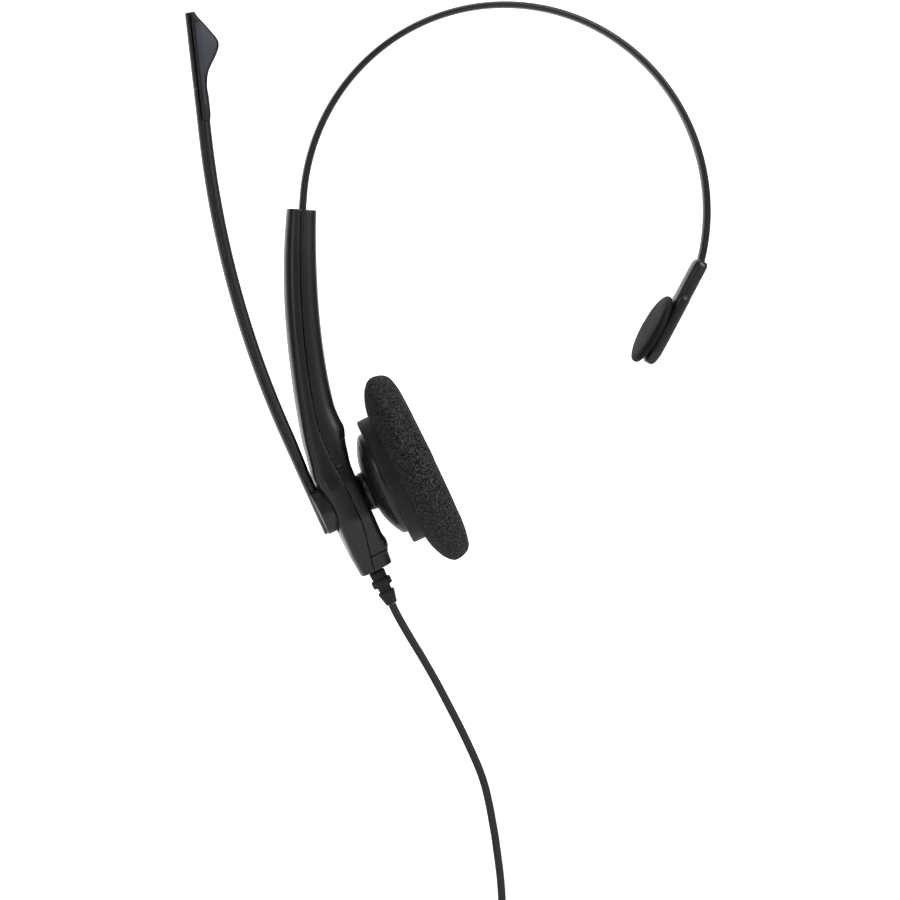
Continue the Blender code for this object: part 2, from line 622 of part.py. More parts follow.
def make_screw_seat(shell, hub_cover, frame, number, place):
    """A screw with its counterbored seat in the hub cover and its boss in the outer shell."""
    back = -HUB_SEAT
    outer_face = -ARM_INNER - ARM_OUTER
    seat = -ARM_WALL
    split = -4.0 * MM
    at = {"location": (place, 0, 0)}
    low, high = outer_face + 1.0 * MM, seat + 1.25 * MM
    wide = SCREW_BOSS_RADIUS + 0.6 * MM
    seat_boss = rod(f"seat_boss_{number}", wide, split, high, "steel", frame, 16, **at)
    shell_boss = rod(f"shell_boss_{number}", SCREW_BOSS_RADIUS, low, split - GAP, "steel", frame, 16, **at)
    join(hub_cover, seat_boss)
    join(shell, shell_boss)
    head_hole = rod(f"head_hole_{number}", SCREW_HEAD_RADIUS + GAP, seat - GAP, 4 * MM, "steel", frame, **at)
    shank_from = back + 1.6 * MM
    shank_hole = rod(f"shank_hole_{number}", SCREW_RADIUS + GAP, shank_from, 4 * MM, "steel", frame, 8, **at)
    cut(hub_cover, head_hole, shank_hole)
    cut(shell, shank_hole)
    tip = shank_from + GAP
    head = SCREW_HEAD_RADIUS
    outline = [(0, tip), (SCREW_RADIUS, tip), (SCREW_RADIUS, seat), (head, seat), (head, seat + MM)]
    outline += [(0.7 * MM, seat + MM), (0.7 * MM, seat + 0.5 * MM), (0, seat + 0.5 * MM)]
    turned(f"arm_screw_{number}", outline, "steel", frame, 12, **at)


def relief_rod(name, radius, frame):
    """A cylinder through the arm's tail on the strain relief's line."""
    place = {"location": (0, 0, -RELIEF_LINE), "rotation": (0, math.pi / 2, 0)}
    low, high = TAIL_BELOW_HUB - 2 * ARM_WALL, TAIL_BELOW_HUB + 3 * MM
    return rod(name, radius, low, high, "steel", frame, 16, **place)


def make_relief(frame):
    """Strain relief: an inner flange, a stem through the tail, one free ring and a tapered cone."""
    tail = TAIL_BELOW_HUB
    wall = tail - ARM_WALL
    ring = tail + RELIEF_RING_AT
    cone = tail + RELIEF_CONE_AT
    tip = tail + RELIEF_LONG
    outline = [
        (0, wall - GAP - 1.0 * MM),
        (RELIEF_STEM_RADIUS + 0.5 * MM, wall - GAP - 1.0 * MM),
        (RELIEF_STEM_RADIUS + 0.5 * MM, wall - GAP),
        (RELIEF_STEM_RADIUS, wall - GAP),
        (RELIEF_STEM_RADIUS, ring),
        (RELIEF_RING_RADIUS - 0.3 * MM, ring),
        (RELIEF_RING_RADIUS, ring + 0.4 * MM),
        (RELIEF_RING_RADIUS - 0.1 * MM, ring + RELIEF_RING_LONG),
        (RELIEF_STEM_RADIUS - 0.1 * MM, ring + RELIEF_RING_LONG),
        (RELIEF_STEM_RADIUS - 0.1 * MM, cone),
        (RELIEF_CONE_RADIUS - 0.2 * MM, cone),
        (RELIEF_CONE_RADIUS, cone + 0.4 * MM),
        (RELIEF_TIP_RADIUS, tip),
        (0, tip),
    ]
    place = {"location": (0, 0, -RELIEF_LINE), "rotation": (0, math.pi / 2, 0)}
    turned("strain_relief", outline, "soft_black", frame, 16, **place)


def make_arm_insides(hub_frame):
    """Detent spring on the band, and the board that joins the lead to the wires of the two capsules."""
    thick = 0.4 * MM
    reach = BAND_THICK / 2 + GAP + thick / 2
    path = []
    for distance, bow in ((5, 0.4), (8, 0.15), (11, 0), (14, 0.15), (17, 0.4)):
        point, outward = slide_point(ARM_TOP_ANGLE + distance * MM / SLIDE_RADIUS)
        path.append((SLIDE_CENTRE + point - (reach + bow * MM) * outward, outward))
    loft("slide_detent_spring", sweep_rings(path, box_section(4.0 * MM, thick)), "steel")
    board_start = SCREW_OFFSET + SCREW_BOSS_RADIUS + 1.2 * MM
    board_low = (board_start, -3.2 * MM, -6.4 * MM)
    board_high = (board_start + 4.6 * MM, 3.2 * MM, -5.6 * MM)
    block("terminal_board", board_low, board_high, "board_green", hub_frame)


# ---------------------------------------------------------------- boom

BOOM_ROOT_Z = -(BOOM_STANDOFF + BOOM_THICK / 2)
BOOM_END = BOOM_STRAIGHT + BOOM_ARC + BOOM_TIP
COVER_FACE = BOOM_THICK / 2 - BOOM_COVER_THICK  # cover's inner face from the boom's middle
BAR_FACE = COVER_FACE - GAP


def boom_direction(rise):
    return np.array([-math.cos(rise), math.sin(rise)]), np.array([-math.sin(rise), -math.cos(rise)])


def boom_point(reach):
    """Boom's middle line at a distance from the pivot, the direction away from the head, and the rise."""
    start_way, start_out = boom_direction(BOOM_ROOT_RISE)
    start = np.array([0, BOOM_ROOT_Z])
    if reach <= BOOM_STRAIGHT:
        return start + reach * start_way, start_out, BOOM_ROOT_RISE
    turned_part = min((reach - BOOM_STRAIGHT) / BOOM_ARC, 1)
    rise = BOOM_ROOT_RISE + BOOM_BEND * turned_part
    way, out = boom_direction(rise)
    point = start + BOOM_STRAIGHT * start_way + BOOM_ARC / BOOM_BEND * (out - start_out)
    return point + max(reach - BOOM_STRAIGHT - BOOM_ARC, 0) * way, out, rise


def boom_places(start, end):
    """Distances along the boom between two ends, one every 9 mm round its arc."""
    arc_marks = [BOOM_STRAIGHT + BOOM_ARC * i / 10 for i in range(1, 11)]
    marks = [start, 12 * MM, BOOM_STRAIGHT - MM, *arc_marks, end]
    return sorted({min(max(mark, start), end) for mark in marks})


def boom_path(start, end):
    return [boom_point(place)[:2] for place in boom_places(start, end)]


def mic_depth(reach):
    """Fin of the microphone shell: its depth inwards from the boom's outer face, back from the boom's end."""
    back = [0, 1.3, 3.7, 6.1, 8.5, 9.8, 10.8, 13.2, 15.6, 17.9, 20.3, 22.7, 25.1, 29.8, 32.1]
    deep = [2.7, 3.4, 5.2, 6.9, 8.45, 8.8, 8.7, 7.6, 6.1, 4.8, 4.2, 3.95, 4.1, 3.9, 3.1]
    return float(np.interp((BOOM_END - reach) / MM, back, deep)) * MM


def mic_rings(start, end, inset=0.0, top=BAR_FACE):
    """Rings of the microphone shell, or of its cavity when inset."""
    rings = []
    backs = [0, 1.3, 3.7, 6.1, 8.5, 9.8, 10.8, 13.2, 15.6, 17.9, 20.3, 22.7, 25.1, 29.8, 32.1]
    places = sorted({min(max(BOOM_END - back * MM, start), end) for back in backs})
    for place in places:
        point, out, _ = boom_point(place)
        low = BOOM_THICK / 2 - mic_depth(place) + inset
        half = MIC_WIDE / 2 - inset
        side = [(top, half), (low + 0.9 * MM, half)]
        side += [(low + 0.25 * MM, half - 0.5 * MM), (low, half - 1.4 * MM)]
        section = side + [(offset, -y) for offset, y in side[::-1]]
        rings += sweep_rings([(point, out)], section)
    return rings


def make_boom(frame):
    hub = [
        (PIVOT_BORE_RADIUS, -BOOM_HUB_FACE),
        (BOOM_HUB_RADIUS - 0.5 * MM, -BOOM_HUB_FACE),
        (BOOM_HUB_RADIUS, -BOOM_HUB_FACE + 0.5 * MM),
        (BOOM_HUB_RADIUS, -GAP),
        (PIVOT_RADIUS, -GAP),
        (PIVOT_RADIUS, GROOVE_START),
        (PIVOT_RADIUS - CLIP_GROOVE, GROOVE_START),
        (PIVOT_RADIUS - CLIP_GROOVE, GROOVE_END),
        (PIVOT_RADIUS, GROOVE_END),
        (PIVOT_RADIUS, GROOVE_END + 0.9 * MM),
        (PIVOT_BORE_RADIUS, GROOVE_END + 0.9 * MM),
    ]
    hub_piece = turned("boom_hub", hub, "matte_black", frame, 32, bored=True)
    slot_half = BOOM_WIDE / 2 + GAP
    slot_floor = -BOOM_STANDOFF + GAP
    slot_low, slot_high = (-12 * MM, -slot_half, -8 * MM), (12 * MM, slot_half, slot_floor)
    slot = block("hub_slot", slot_low, slot_high, "steel", frame)
    cut(hub_piece, slot)
    channel = LEAD_CHANNEL_WIDE / 2
    floor = BAR_FACE - LEAD_CHANNEL_DEEP
    half, low = BOOM_WIDE / 2, -BOOM_THICK / 2
    side = [
        (floor, channel),
        (BAR_FACE, channel),
        (BAR_FACE, half - 0.1 * MM),
        (floor - 0.01 * MM, half),
        (low + 0.6 * MM, half - 0.3 * MM),
        (low + 0.1 * MM, half - 1.1 * MM),
    ]
    bar_end = BOOM_END - MIC_LONG - GAP
    rings = []
    for reach in boom_places(-BOOM_TAIL, bar_end):
        swell = BOOM_SWELL * min(max(reach / (12 * MM) - 1, 0), 1)
        grown = [(offset - (swell if offset < floor else 0), y) for offset, y in side]
        section = grown + [(offset, -y) for offset, y in grown[::-1]]
        rings += sweep_rings([boom_point(reach)[:2]], section)
    bar = loft("boom_bar", rings, "matte_black", frame)
    cut(bar, rod("lead_hole", PIVOT_BORE_RADIUS * 0.6, BOOM_ROOT_Z - 3 * MM, 0, parent=frame, segments=8))
    for name, start, end in (
        ("boom_cover", -BOOM_TAIL, BOOM_END - MIC_SEAM - GAP),
        ("mic_cover", BOOM_END - MIC_SEAM, BOOM_END),
    ):
        loft(name, sweep_rings(boom_path(start, end), cover_section(BOOM_WIDE)), "matte_black", frame)
    make_lead(frame)


def cover_section(wide):
    half, top = wide / 2, BOOM_THICK / 2
    side = [(COVER_FACE, half - 0.1 * MM), (COVER_FACE + 0.45 * MM, half - 0.1 * MM)]
    side += [(top - 0.15 * MM, half - 0.9 * MM)]
    return side + [(top, 0)] + [(offset, -y) for offset, y in side[::-1]]


def make_lead(frame):
    """Microphone wire: down the hollow pivot and along the channel under the boom's cover."""
    turn = 1.4 * MM
    middle = BAR_FACE - LEAD_CHANNEL_DEEP / 2
    start, out, _ = boom_point(turn)
    bend_end = start + middle * out
    points = [np.array([0, GROOVE_END]), np.array([0, bend_end[1] + turn])]
    points += [
        np.array([-turn * (1 - math.cos(a)), bend_end[1] + turn - turn * math.sin(a)])
        for a in (30 * DEG, 60 * DEG)
    ]
    reach = turn
    while reach < BOOM_END - MIC_LONG - 2 * MM:
        point, out, _ = boom_point(reach)
        points.append(point + middle * out)
        reach += 8 * MM
    add_tube("mic_lead", [(x, 0, z) for x, z in points], LEAD_RADIUS, "film", frame)


def add_tube(name, points, radius, finish, parent=None):
    """A round tube with filled ends along a line of points."""
    curve = bpy.data.curves.new(name, "CURVE")
    curve.dimensions = "3D"
    curve.bevel_depth = radius
    curve.bevel_resolution = 2
    curve.use_fill_caps = True
    curve.materials.append(finish_material(finish))
    spline = curve.splines.new("POLY")
    spline.points.add(len(points) - 1)
    for point, place in zip(spline.points, points):
        point.co = (*place, 1.0)
    return add_object(name, curve, parent)


BUSH_FLANGE_AT = ARM_WALL + GAP
WASHER_AT = BUSH_FLANGE_AT + BUSH_FLANGE + GAP
CLIP_AT = WASHER_AT + WASHER_THICK + GAP
GROOVE_START = CLIP_AT - GAP
GROOVE_END = CLIP_AT + CLIP_THICK + GAP


def ring_outline(inner, outer, low, high):
    return [(inner, low), (outer, low), (outer, high), (inner, high)]


def make_pivot_stack(frame):
    """Bush, friction washer and retaining clip that hold the boom's pivot tube in the outer shell."""
    bore = PIVOT_RADIUS + GAP
    bush = [
        (bore, 0.1 * MM),
        (bore + BUSH_WALL, 0.1 * MM),
        (bore + BUSH_WALL, BUSH_FLANGE_AT),
        (COLLAR_RADIUS, BUSH_FLANGE_AT),
        (COLLAR_RADIUS, BUSH_FLANGE_AT + BUSH_FLANGE),
        (bore, BUSH_FLANGE_AT + BUSH_FLANGE),
    ]
    turned("boom_bush", bush, "nylon", frame, 24, bored=True)
    washer = ring_outline(bore, COLLAR_RADIUS - 0.2 * MM, WASHER_AT, WASHER_AT + WASHER_THICK)
    turned("boom_washer", washer, "steel", frame, 24, bored=True)
    clip_bore = PIVOT_RADIUS - CLIP_GROOVE + GAP
    clip_ring = ring_outline(clip_bore, COLLAR_RADIUS, CLIP_AT, CLIP_AT + CLIP_THICK)
    clip = turned("boom_clip", clip_ring, "steel", frame, 24, bored=True)
    mouth_high = (1.6 * MM, 2 * COLLAR_RADIUS, 2 * GROOVE_END)
    mouth = block("clip_mouth", (-1.6 * MM, 0, 0), mouth_high, "steel", frame)
    cut(clip, mouth)


def make_microphone(frame):
    """Fin-shaped shell with a plate inlaid on each side, and the capsule in its rubber boot behind a port."""
    start = BOOM_END - MIC_LONG
    shell = loft("mic_shell", mic_rings(start, BOOM_END), "soft_black", frame)
    cavity = mic_rings(start + 2 * MM, BOOM_END - MIC_WALL, MIC_WALL, BOOM_THICK)
    cut(shell, loft("mic_cavity", cavity, "steel", frame))
    point, _, rise = boom_point(BOOM_END - MIC_CAPSULE_AT)
    place = add_frame("mic_frame", frame, (point[0], 0, point[1]), (0, rise, 0))
    depth = mic_depth(BOOM_END - MIC_CAPSULE_AT) - BOOM_THICK / 2
    inside = depth - MIC_WALL
    cut(shell, rod("mic_port", MIC_PORT_RADIUS, inside - MM, depth + MM, parent=place, segments=12))
    mesh_low = inside - GAP - 0.3 * MM
    rod("mic_mesh", MIC_PORT_RADIUS + 0.5 * MM, mesh_low, mesh_low + 0.3 * MM, "steel", place)
    top = mesh_low - GAP
    boot_radius = MIC_WIDE / 2 - MIC_WALL - GAP
    boot_low = top - MIC_CAPSULE_THICK - 0.6 * MM
    bore = MIC_CAPSULE_RADIUS - 0.3 * MM
    boot_outline = [(bore, boot_low), (boot_radius, boot_low), (boot_radius, top), (bore, top)]
    capsule_radius = bore - GAP
    turned("mic_boot", boot_outline, "felt", place, 16, bored=True)
    rod("mic_capsule", capsule_radius, top - MIC_CAPSULE_THICK, top - 0.1 * MM, "steel", place, 16)
    for name, side in (("mic_plate_front", -1), ("mic_plate_back", 1)):
        make_mic_plate(shell, frame, name, side)


def mic_outline(margin):
    """Outline of the inlaid plate in the boom's plane: along the cover, round the tip and back on the fin."""
    reaches = [BOOM_END - back * MM for back in (20.3, 17.9, 15.6, 13.2, 10.8, 9.8, 8.5, 6.1, 3.7)]
    low, high = [], []
    for reach in reaches:
        point, out, _ = boom_point(reach)
        high.append(point + (BAR_FACE - margin) * out)
        low.append(point + (BOOM_THICK / 2 - mic_depth(reach) + margin) * out)
    return np.array(high + low[::-1])


def make_mic_plate(shell, frame, name, side):
    face = MIC_WIDE / 2
    outer, inner = face - PLATE_RECESS, face - PLATE_RECESS - PLATE_THICK
    plate = mic_outline(PLATE_MARGIN)
    pocket = mic_outline(PLATE_MARGIN - GAP)
    rings = [np.array([(x, side * y, z) for x, z in plate]) for y in (inner, outer)]
    loft(name, rings, "mic_grey", frame, smooth=False)
    pocket_rings = [np.array([(x, side * y, z) for x, z in pocket]) for y in (inner - 0.1 * MM, face + MM)]
    cut(shell, loft(f"{name}_pocket", pocket_rings, "steel", frame, smooth=False))


# ---------------------------------------------------------------- ear cup


def sphere_outline(radius, low, high, steps):
    """Points (radius, height) on a sphere between two heights, low to high."""
    start, end = math.asin(low / radius), math.asin(high / radius)
    return [(radius * math.cos(a), radius * math.sin(a)) for a in np.linspace(start, end, steps)]


def make_ball(frame):
    """Stud fixed in the arm, with a bored ball."""
    face = -BALL_HEIGHT
    flange_top = face - ARM_WALL - GAP
    top = math.sqrt(BALL_RADIUS**2 - BALL_BORE_RADIUS**2)
    neck = -math.sqrt(BALL_RADIUS**2 - BALL_NECK_RADIUS**2)
    flange_low = flange_top - 1.2 * MM
    outline = [(BALL_BORE_RADIUS, flange_low), (4.4 * MM, flange_low), (4.4 * MM, flange_top)]
    outline += [(BALL_NECK_RADIUS, flange_top), *sphere_outline(BALL_RADIUS, neck, top, 9)]
    turned("ball_stud", outline, "steel", frame, 20, bored=True)


def make_liner(frame):
    """Nylon liner between the ball and the cup's socket."""
    inner = BALL_RADIUS + GAP
    outer = inner + LINER_WALL
    low, high = -1.3 * MM, 2.4 * MM
    liner = sphere_outline(inner, low, high, 6) + sphere_outline(outer, low, high, 6)[::-1]
    turned("socket_liner", liner, "nylon", frame, 20, bored=True)


def make_cup(frame):
    """Back cover with its socket and vents, speaker ring, driver and grille."""
    socket = BALL_RADIUS + LINER_WALL + 2 * GAP
    bore = 1.2 * MM
    skin = 1.2 * MM
    rim = CUP_RADIUS
    collar = COLLAR_REACH
    socket_line = sphere_outline(socket, -1.95 * MM, math.sqrt(socket**2 - bore**2), 7)[::-1]
    cover = [
        *socket_line,
        (collar - 0.35 * MM, -1.95 * MM),
        (collar, -0.9 * MM),
        (collar, 0.1 * MM),
        (8.5 * MM, 0.4 * MM),
        (12.2 * MM, 1.6 * MM),
        (rim, 3.8 * MM),
        (rim, 6.0 * MM),
        (rim - skin, 6.0 * MM),
        (rim - skin, 4.5 * MM),
        (11.7 * MM, 2.9 * MM),
        (8.2 * MM, 1.7 * MM),
        (collar + 0.2 * MM, 1.6 * MM),
        (collar + 0.2 * MM, 5.6 * MM),
        (bore, 5.6 * MM),
    ]
    back = turned("cup_back_cover", cover, "matte_black", frame, 32, bored=True)
    cut(back, make_vent_cutter(frame))
    seat = rim + GAP
    ring = [
        (seat, 5.2 * MM),
        (CUP_RING_RADIUS - 0.4 * MM, 5.2 * MM),
        (CUP_RING_RADIUS, 5.6 * MM),
        (CUP_RING_RADIUS, 10.5 * MM),
        (CUP_FLANGE_RADIUS, 10.5 * MM),
        (CUP_FLANGE_RADIUS, 11.7 * MM),
        (DRIVER_RADIUS + GAP, 11.7 * MM),
        (DRIVER_RADIUS + GAP, 7.5 * MM),
        (rim - skin - 0.4 * MM, 7.5 * MM),
        (rim - skin - 0.4 * MM, 6.3 * MM),
        (seat, 6.3 * MM),
    ]
    turned("cup_ring", ring, "soft_black", frame, 32, bored=True)
    turned("vent_felt", ring_outline(12.2 * MM, 14.6 * MM, 4.9 * MM, 5.3 * MM), "felt", frame, 24, bored=True)
    magnet_ring = ring_outline(1.0 * MM, MAGNET_RADIUS, 5.9 * MM, 8.7 * MM)
    turned("driver_magnet", magnet_ring, "steel", frame, 20, bored=True)
    seat_low = 7.8 * MM
    basket = [
        (MAGNET_RADIUS + GAP, seat_low),
        (DRIVER_RADIUS, seat_low),
        (DRIVER_RADIUS, 10.8 * MM),
        (DRIVER_RADIUS - 1.2 * MM, 10.8 * MM),
        (DRIVER_RADIUS - 1.2 * MM, seat_low + 1.0 * MM),
        (MAGNET_RADIUS + GAP, seat_low + 1.0 * MM),
    ]
    turned("driver_frame", basket, "steel", frame, 24, bored=True)
    film_edge = DRIVER_RADIUS - 1.2 * MM - GAP
    film = [
        (0, 10.1 * MM),
        (5 * MM, 9.8 * MM),
        (6 * MM, 9.2 * MM),
        (film_edge, 9.2 * MM),
        (film_edge, 9.5 * MM),
        (6.2 * MM, 9.5 * MM),
        (5.1 * MM, 10.1 * MM),
        (0, 10.4 * MM),
    ]
    turned("driver_diaphragm", film, "film", frame, 20)
    grille = rod("front_grille", DRIVER_RADIUS - GAP, 11.1 * MM, 11.9 * MM, "matte_black", frame, 24)
    cut(grille, make_grille_cutter(frame))


def ring_of_rods(name, frame, count, circle, radius, low, high, sides):
    """Several cylinders in a circle, as one cutting body."""
    points, faces = [], []
    spin = np.arange(sides) * 2 * math.pi / sides
    for i in range(count):
        turn = 2 * math.pi * (i + 0.5) / count
        centre = np.array([circle * math.cos(turn), circle * math.sin(turn), 0])
        rings = [
            centre + np.stack([radius * np.cos(spin), radius * np.sin(spin), np.full(sides, z)], axis=1)
            for z in (low, high)
        ]
        base = len(points)
        points += [tuple(p) for ring in rings for p in ring]
        faces += [tuple(base + k for k in face) for face in ring_faces(2, sides)]
        faces.append(tuple(base + k for k in range(sides)))
        faces.append(tuple(base + sides + k for k in range(sides)))
    return make_piece(name, points, faces, "steel", frame)


def make_vent_cutter(frame):
    return ring_of_rods("vent_holes", frame, VENT_COUNT, VENT_CIRCLE, VENT_RADIUS, 0, 4.8 * MM, 6)


def make_grille_cutter(frame):
    return ring_of_rods("grille_holes", frame, 8, 9.0 * MM, 1.6 * MM, 10.5 * MM, 12.5 * MM, 8)


def make_cushion(frame):
    """Foam disc that slips over the ring's flange, its back lip gripping the ring."""
    front, radius = CUSHION_FRONT, CUSHION_RADIUS
    lip = CUP_RING_RADIUS + GAP
    pocket = CUP_FLANGE_RADIUS + GAP
    outline = [
        (0, 12.2 * MM),
        (pocket, 12.2 * MM),
        (pocket, 10.2 * MM),
        (lip, 10.2 * MM),
        (lip, 9.1 * MM),
        (23.0 * MM, 9.7 * MM),
        (radius - 3.0 * MM, 11.2 * MM),
        (radius - 0.9 * MM, 13.0 * MM),
        (radius, 15.4 * MM),
        (radius - 1.0 * MM, front - 2.6 * MM),
        (radius - 4.2 * MM, front - 0.6 * MM),
        (radius - 8.2 * MM, front),
        (0, front),
    ]
    turned("ear_cushion", outline, "foam", frame, 32)


# ---------------------------------------------------------------- lead and plug

# the lead's route from the strain relief to the hank, in millimetres, hanging under its own weight
CORD_ROUTE = [
    (-34.94, 0, -178.4),
    (-33.4, 0, -181.6),
    (-29.8, 0, -187.9),
    (-25.4, 0, -195.2),
    (-21.3, 0, -202.4),
    (-17.5, 0, -209.6),
    (-13.7, 0, -217.0),
    (-10.4, 0, -224.0),
    (-8.1, 0, -229.4),
    (-6.5, 0, -234.3),
    (-5.3, 0, -239.4),
    (-4.4, 0, -244.2),
    (-3.5, 0, -249.3),
    (-2.8, 0, -254.3),
    (-2.1, 0, -259.5),
    (-1.6, 0, -264.5),
    (-1.3, 0, -269.5),
    (-1.2, 0, -274.5),
    (-1.2, 0, -280.2),
]
HANK_LEFT_LEG = -1.2 * MM
HANK_TOP = -279.0 * MM


def smooth_route(route, spacing):
    """Points at an even spacing along the Catmull-Rom curve through a route's points."""
    knots = np.array(route, dtype=float)
    padded = np.vstack([2 * knots[0] - knots[1], knots, 2 * knots[-1] - knots[-2]])
    t = np.linspace(0, 1, 20, endpoint=False)[:, None]
    pieces = []
    for a, b, c, d in zip(padded, padded[1:], padded[2:], padded[3:]):
        bend = (2 * a - 5 * b + 4 * c - d) * t**2 + (3 * b - a - 3 * c + d) * t**3
        pieces.append(0.5 * (2 * b + (c - a) * t + bend))
    line = np.vstack([*pieces, knots[-1:]])
    reach = np.concatenate([[0], np.cumsum(np.linalg.norm(np.diff(line, axis=0), axis=1))])
    count = round(reach[-1] / spacing) + 1
    marks = np.linspace(0, reach[-1], count)
    return np.stack([np.interp(marks, reach, line[:, axis]) for axis in range(3)], axis=1)


def stadium(run, fold, reach, sides=8):
    """Outline in XZ round two points `run` apart, at `fold` / 2 + `reach` from the line between them."""
    radius = fold / 2 + reach
    points = []
    for end, start in ((run / 2, 0.0), (-run / 2, math.pi)):
        for angle in np.linspace(start, start + math.pi, sides + 1):
            points.append((radius * math.cos(angle), end + radius * math.sin(angle)))
    return points


def make_lead_and_plug():
    add_tube("cord", smooth_route(CORD_ROUTE, 2.6) * MM, CORD_RADIUS, "cord_black")
    half = HANK_LEG / 2
    centre_x = HANK_LEFT_LEG + HANK_FOLD / 2
    centre_z = HANK_TOP - HANK_RUN / 2 - HANK_FOLD / 2 - half
    frame = add_frame("hank_frame", None, (centre_x, 0, centre_z))
    outline = stadium(HANK_RUN, HANK_FOLD, half)
    loft("cord_hank", [np.array([(x, y, z) for x, z in outline]) for y in (-half, half)], "cord_black", frame)
    make_tie(frame, half)
    low = centre_z - HANK_RUN / 2 - math.sqrt((HANK_FOLD / 2 + half) ** 2 - (HANK_FOLD / 2) ** 2)
    tail_x = centre_x + HANK_FOLD / 2
    tail_top = low - GAP - 1.2 * MM
    tail_end = tail_top - TAIL_LONG
    tail = [(tail_x, 0, z) for z in np.linspace(tail_top, tail_end, 5)]
    add_tube("cord_tail", tail, CORD_RADIUS, "cord_black")
    make_plug(add_frame("plug_frame", None, (tail_x, 0, tail_end - GAP)))


def make_tie(frame, half):
    """Flat strap round the middle of the hank."""
    reach_x = HANK_FOLD / 2 + half + GAP
    reach_y = half + GAP
    inner = [(reach_x, -reach_y), (reach_x, reach_y), (-reach_x, reach_y), (-reach_x, -reach_y)]
    outer = [(x + math.copysign(TIE_THICK, x), y + math.copysign(TIE_THICK, y)) for x, y in inner]
    levels = (-TIE_WIDE / 2, TIE_WIDE / 2)
    rings_out = [np.array([(x, y, z) for x, y in outer]) for z in levels]
    rings_in = [np.array([(x, y, z) for x, y in inner]) for z in levels]
    tube_loft("hank_tie", rings_out, rings_in, "soft_black", frame, smooth=False)


def plug_rings(levels, inset=0.0):
    """Rings of the plug's rounded housing at heights (z, share of full size)."""
    rings = []
    for z, share in levels:
        section = rounded_section((PLUG_THICK - 2 * inset) * share, (PLUG_WIDE - 2 * inset) * share, 20, 4.0)
        rings.append(np.array([(x, y, z) for x, y in section]))
    return rings


def make_plug(frame):
    """Quick-disconnect plug on the hanging lead: boot, housing in two halves, insert and four contacts."""
    boot = [
        (0, 0),
        (CORD_RADIUS + 0.5 * MM, 0),
        (CORD_RADIUS + 1.6 * MM, -BOOT_LONG),
        (CORD_RADIUS + 1.6 * MM, -BOOT_LONG - 1.5 * MM),
        (0, -BOOT_LONG - 1.5 * MM),
    ]
    turned("plug_boot", boot, "soft_black", frame, 16)
    top, nose = -BOOT_LONG, -BOOT_LONG - PLUG_LONG
    levels = [(top, 0.62), (top - 1.5 * MM, 0.86), (top - 6 * MM, 1.0)]
    levels += [(nose + 8 * MM, 1.0), (nose + 1 * MM, 0.94), (nose, 0.88)]
    hollow_levels = [(top - 2.6 * MM, 0.8), (top - 6 * MM, 1.0), (nose - MM, 1.0)]
    hollow = loft("plug_hollow", plug_rings(hollow_levels, PLUG_WALL), "steel", frame)
    hole_radius = CORD_RADIUS + 1.6 * MM + GAP
    boot_hole = rod("boot_hole", hole_radius, top - 3 * MM, top + MM, "steel", frame, 16)
    for name, side in (("plug_shell_front", -1), ("plug_shell_back", 1)):
        shell = loft(name, plug_rings(levels), "matte_black", frame)
        near, far = sorted((side * GAP / 2, -side * PLUG_WIDE))
        split_low, split_high = (-PLUG_WIDE, near, nose - MM), (PLUG_WIDE, far, top + MM)
        other_half = block(f"{name}_split", split_low, split_high, "steel", frame)
        cut(shell, other_half, hollow, boot_hole)
    half_x = PLUG_WIDE / 2 - PLUG_WALL - 1.2 * MM
    half_y = PLUG_THICK / 2 - PLUG_WALL - 0.9 * MM
    insert_low, insert_top = nose + 1.0 * MM, nose + 11.0 * MM
    insert_from, insert_to = (-half_x, -half_y, insert_low), (half_x, half_y, insert_top)
    insert = block("plug_insert", insert_from, insert_to, "nylon", frame)
    pitch = half_x / 2
    slot_x, slot_y = 0.55 * MM, 1.1 * MM
    for number in range(4):
        x = (number - 1.5) * pitch
        low = (x - slot_x, -slot_y, insert_low - MM)
        high = (x + slot_x, slot_y, insert_top - 2 * MM)
        cut(insert, block(f"contact_slot_{number + 1}", low, high, "steel", frame))
        low = (x - slot_x + GAP, -slot_y + GAP, insert_low + 0.4 * MM)
        high = (x + slot_x - GAP, slot_y - GAP, insert_top - 2 * MM - GAP)
        block(f"plug_contact_{number + 1}", low, high, "brass", frame)


# ---------------------------------------------------------------- build


def build():
    clear_scene()
    make_headband()
    temple_frame = add_frame("temple_frame", None, (PAD_POINT[0], 0, PAD_POINT[1]), HOLDER_TURN)
    make_holder(temple_frame)
    make_temple_pad(temple_frame)
    slide_axis = add_frame("slide_axis", None, (SLIDE_CENTRE[0], 0, SLIDE_CENTRE[1]))
    hub_frame = add_frame("hub_frame", slide_axis, (HUB_POINT[0], 0, HUB_POINT[1]), HUB_TURN)
    boom_frame = add_frame("boom_frame", hub_frame, (0, 0, -HUB_SEAT))
    ball_frame = add_frame("ball_frame", hub_frame, (CUP_DROP, 0, BALL_HEIGHT))
    cup_frame = add_frame("cup_frame", ball_frame, (0, 0, 0), (CUP_TURN, 0, 0))
    make_arm(slide_axis, hub_frame)
    make_relief(hub_frame)
    make_arm_insides(hub_frame)
    make_pivot_stack(boom_frame)
    make_boom(boom_frame)
    make_microphone(boom_frame)
    make_ball(ball_frame)
    make_liner(cup_frame)
    make_cup(cup_frame)
    make_cushion(cup_frame)
    make_lead_and_plug()


build()
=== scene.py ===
"""Studio view of an office headset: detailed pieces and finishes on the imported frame, in metres.

Frames used below, the same as the part's: the world's origin is the inner surface of the headband at the
crown; the hub frame has its origin on the arm's inner face at the hub, +X down the arm and +Z towards the
ear; the temple frame has its origin on the temple holder's inner face, +Z towards the head.
"""

import json
import math

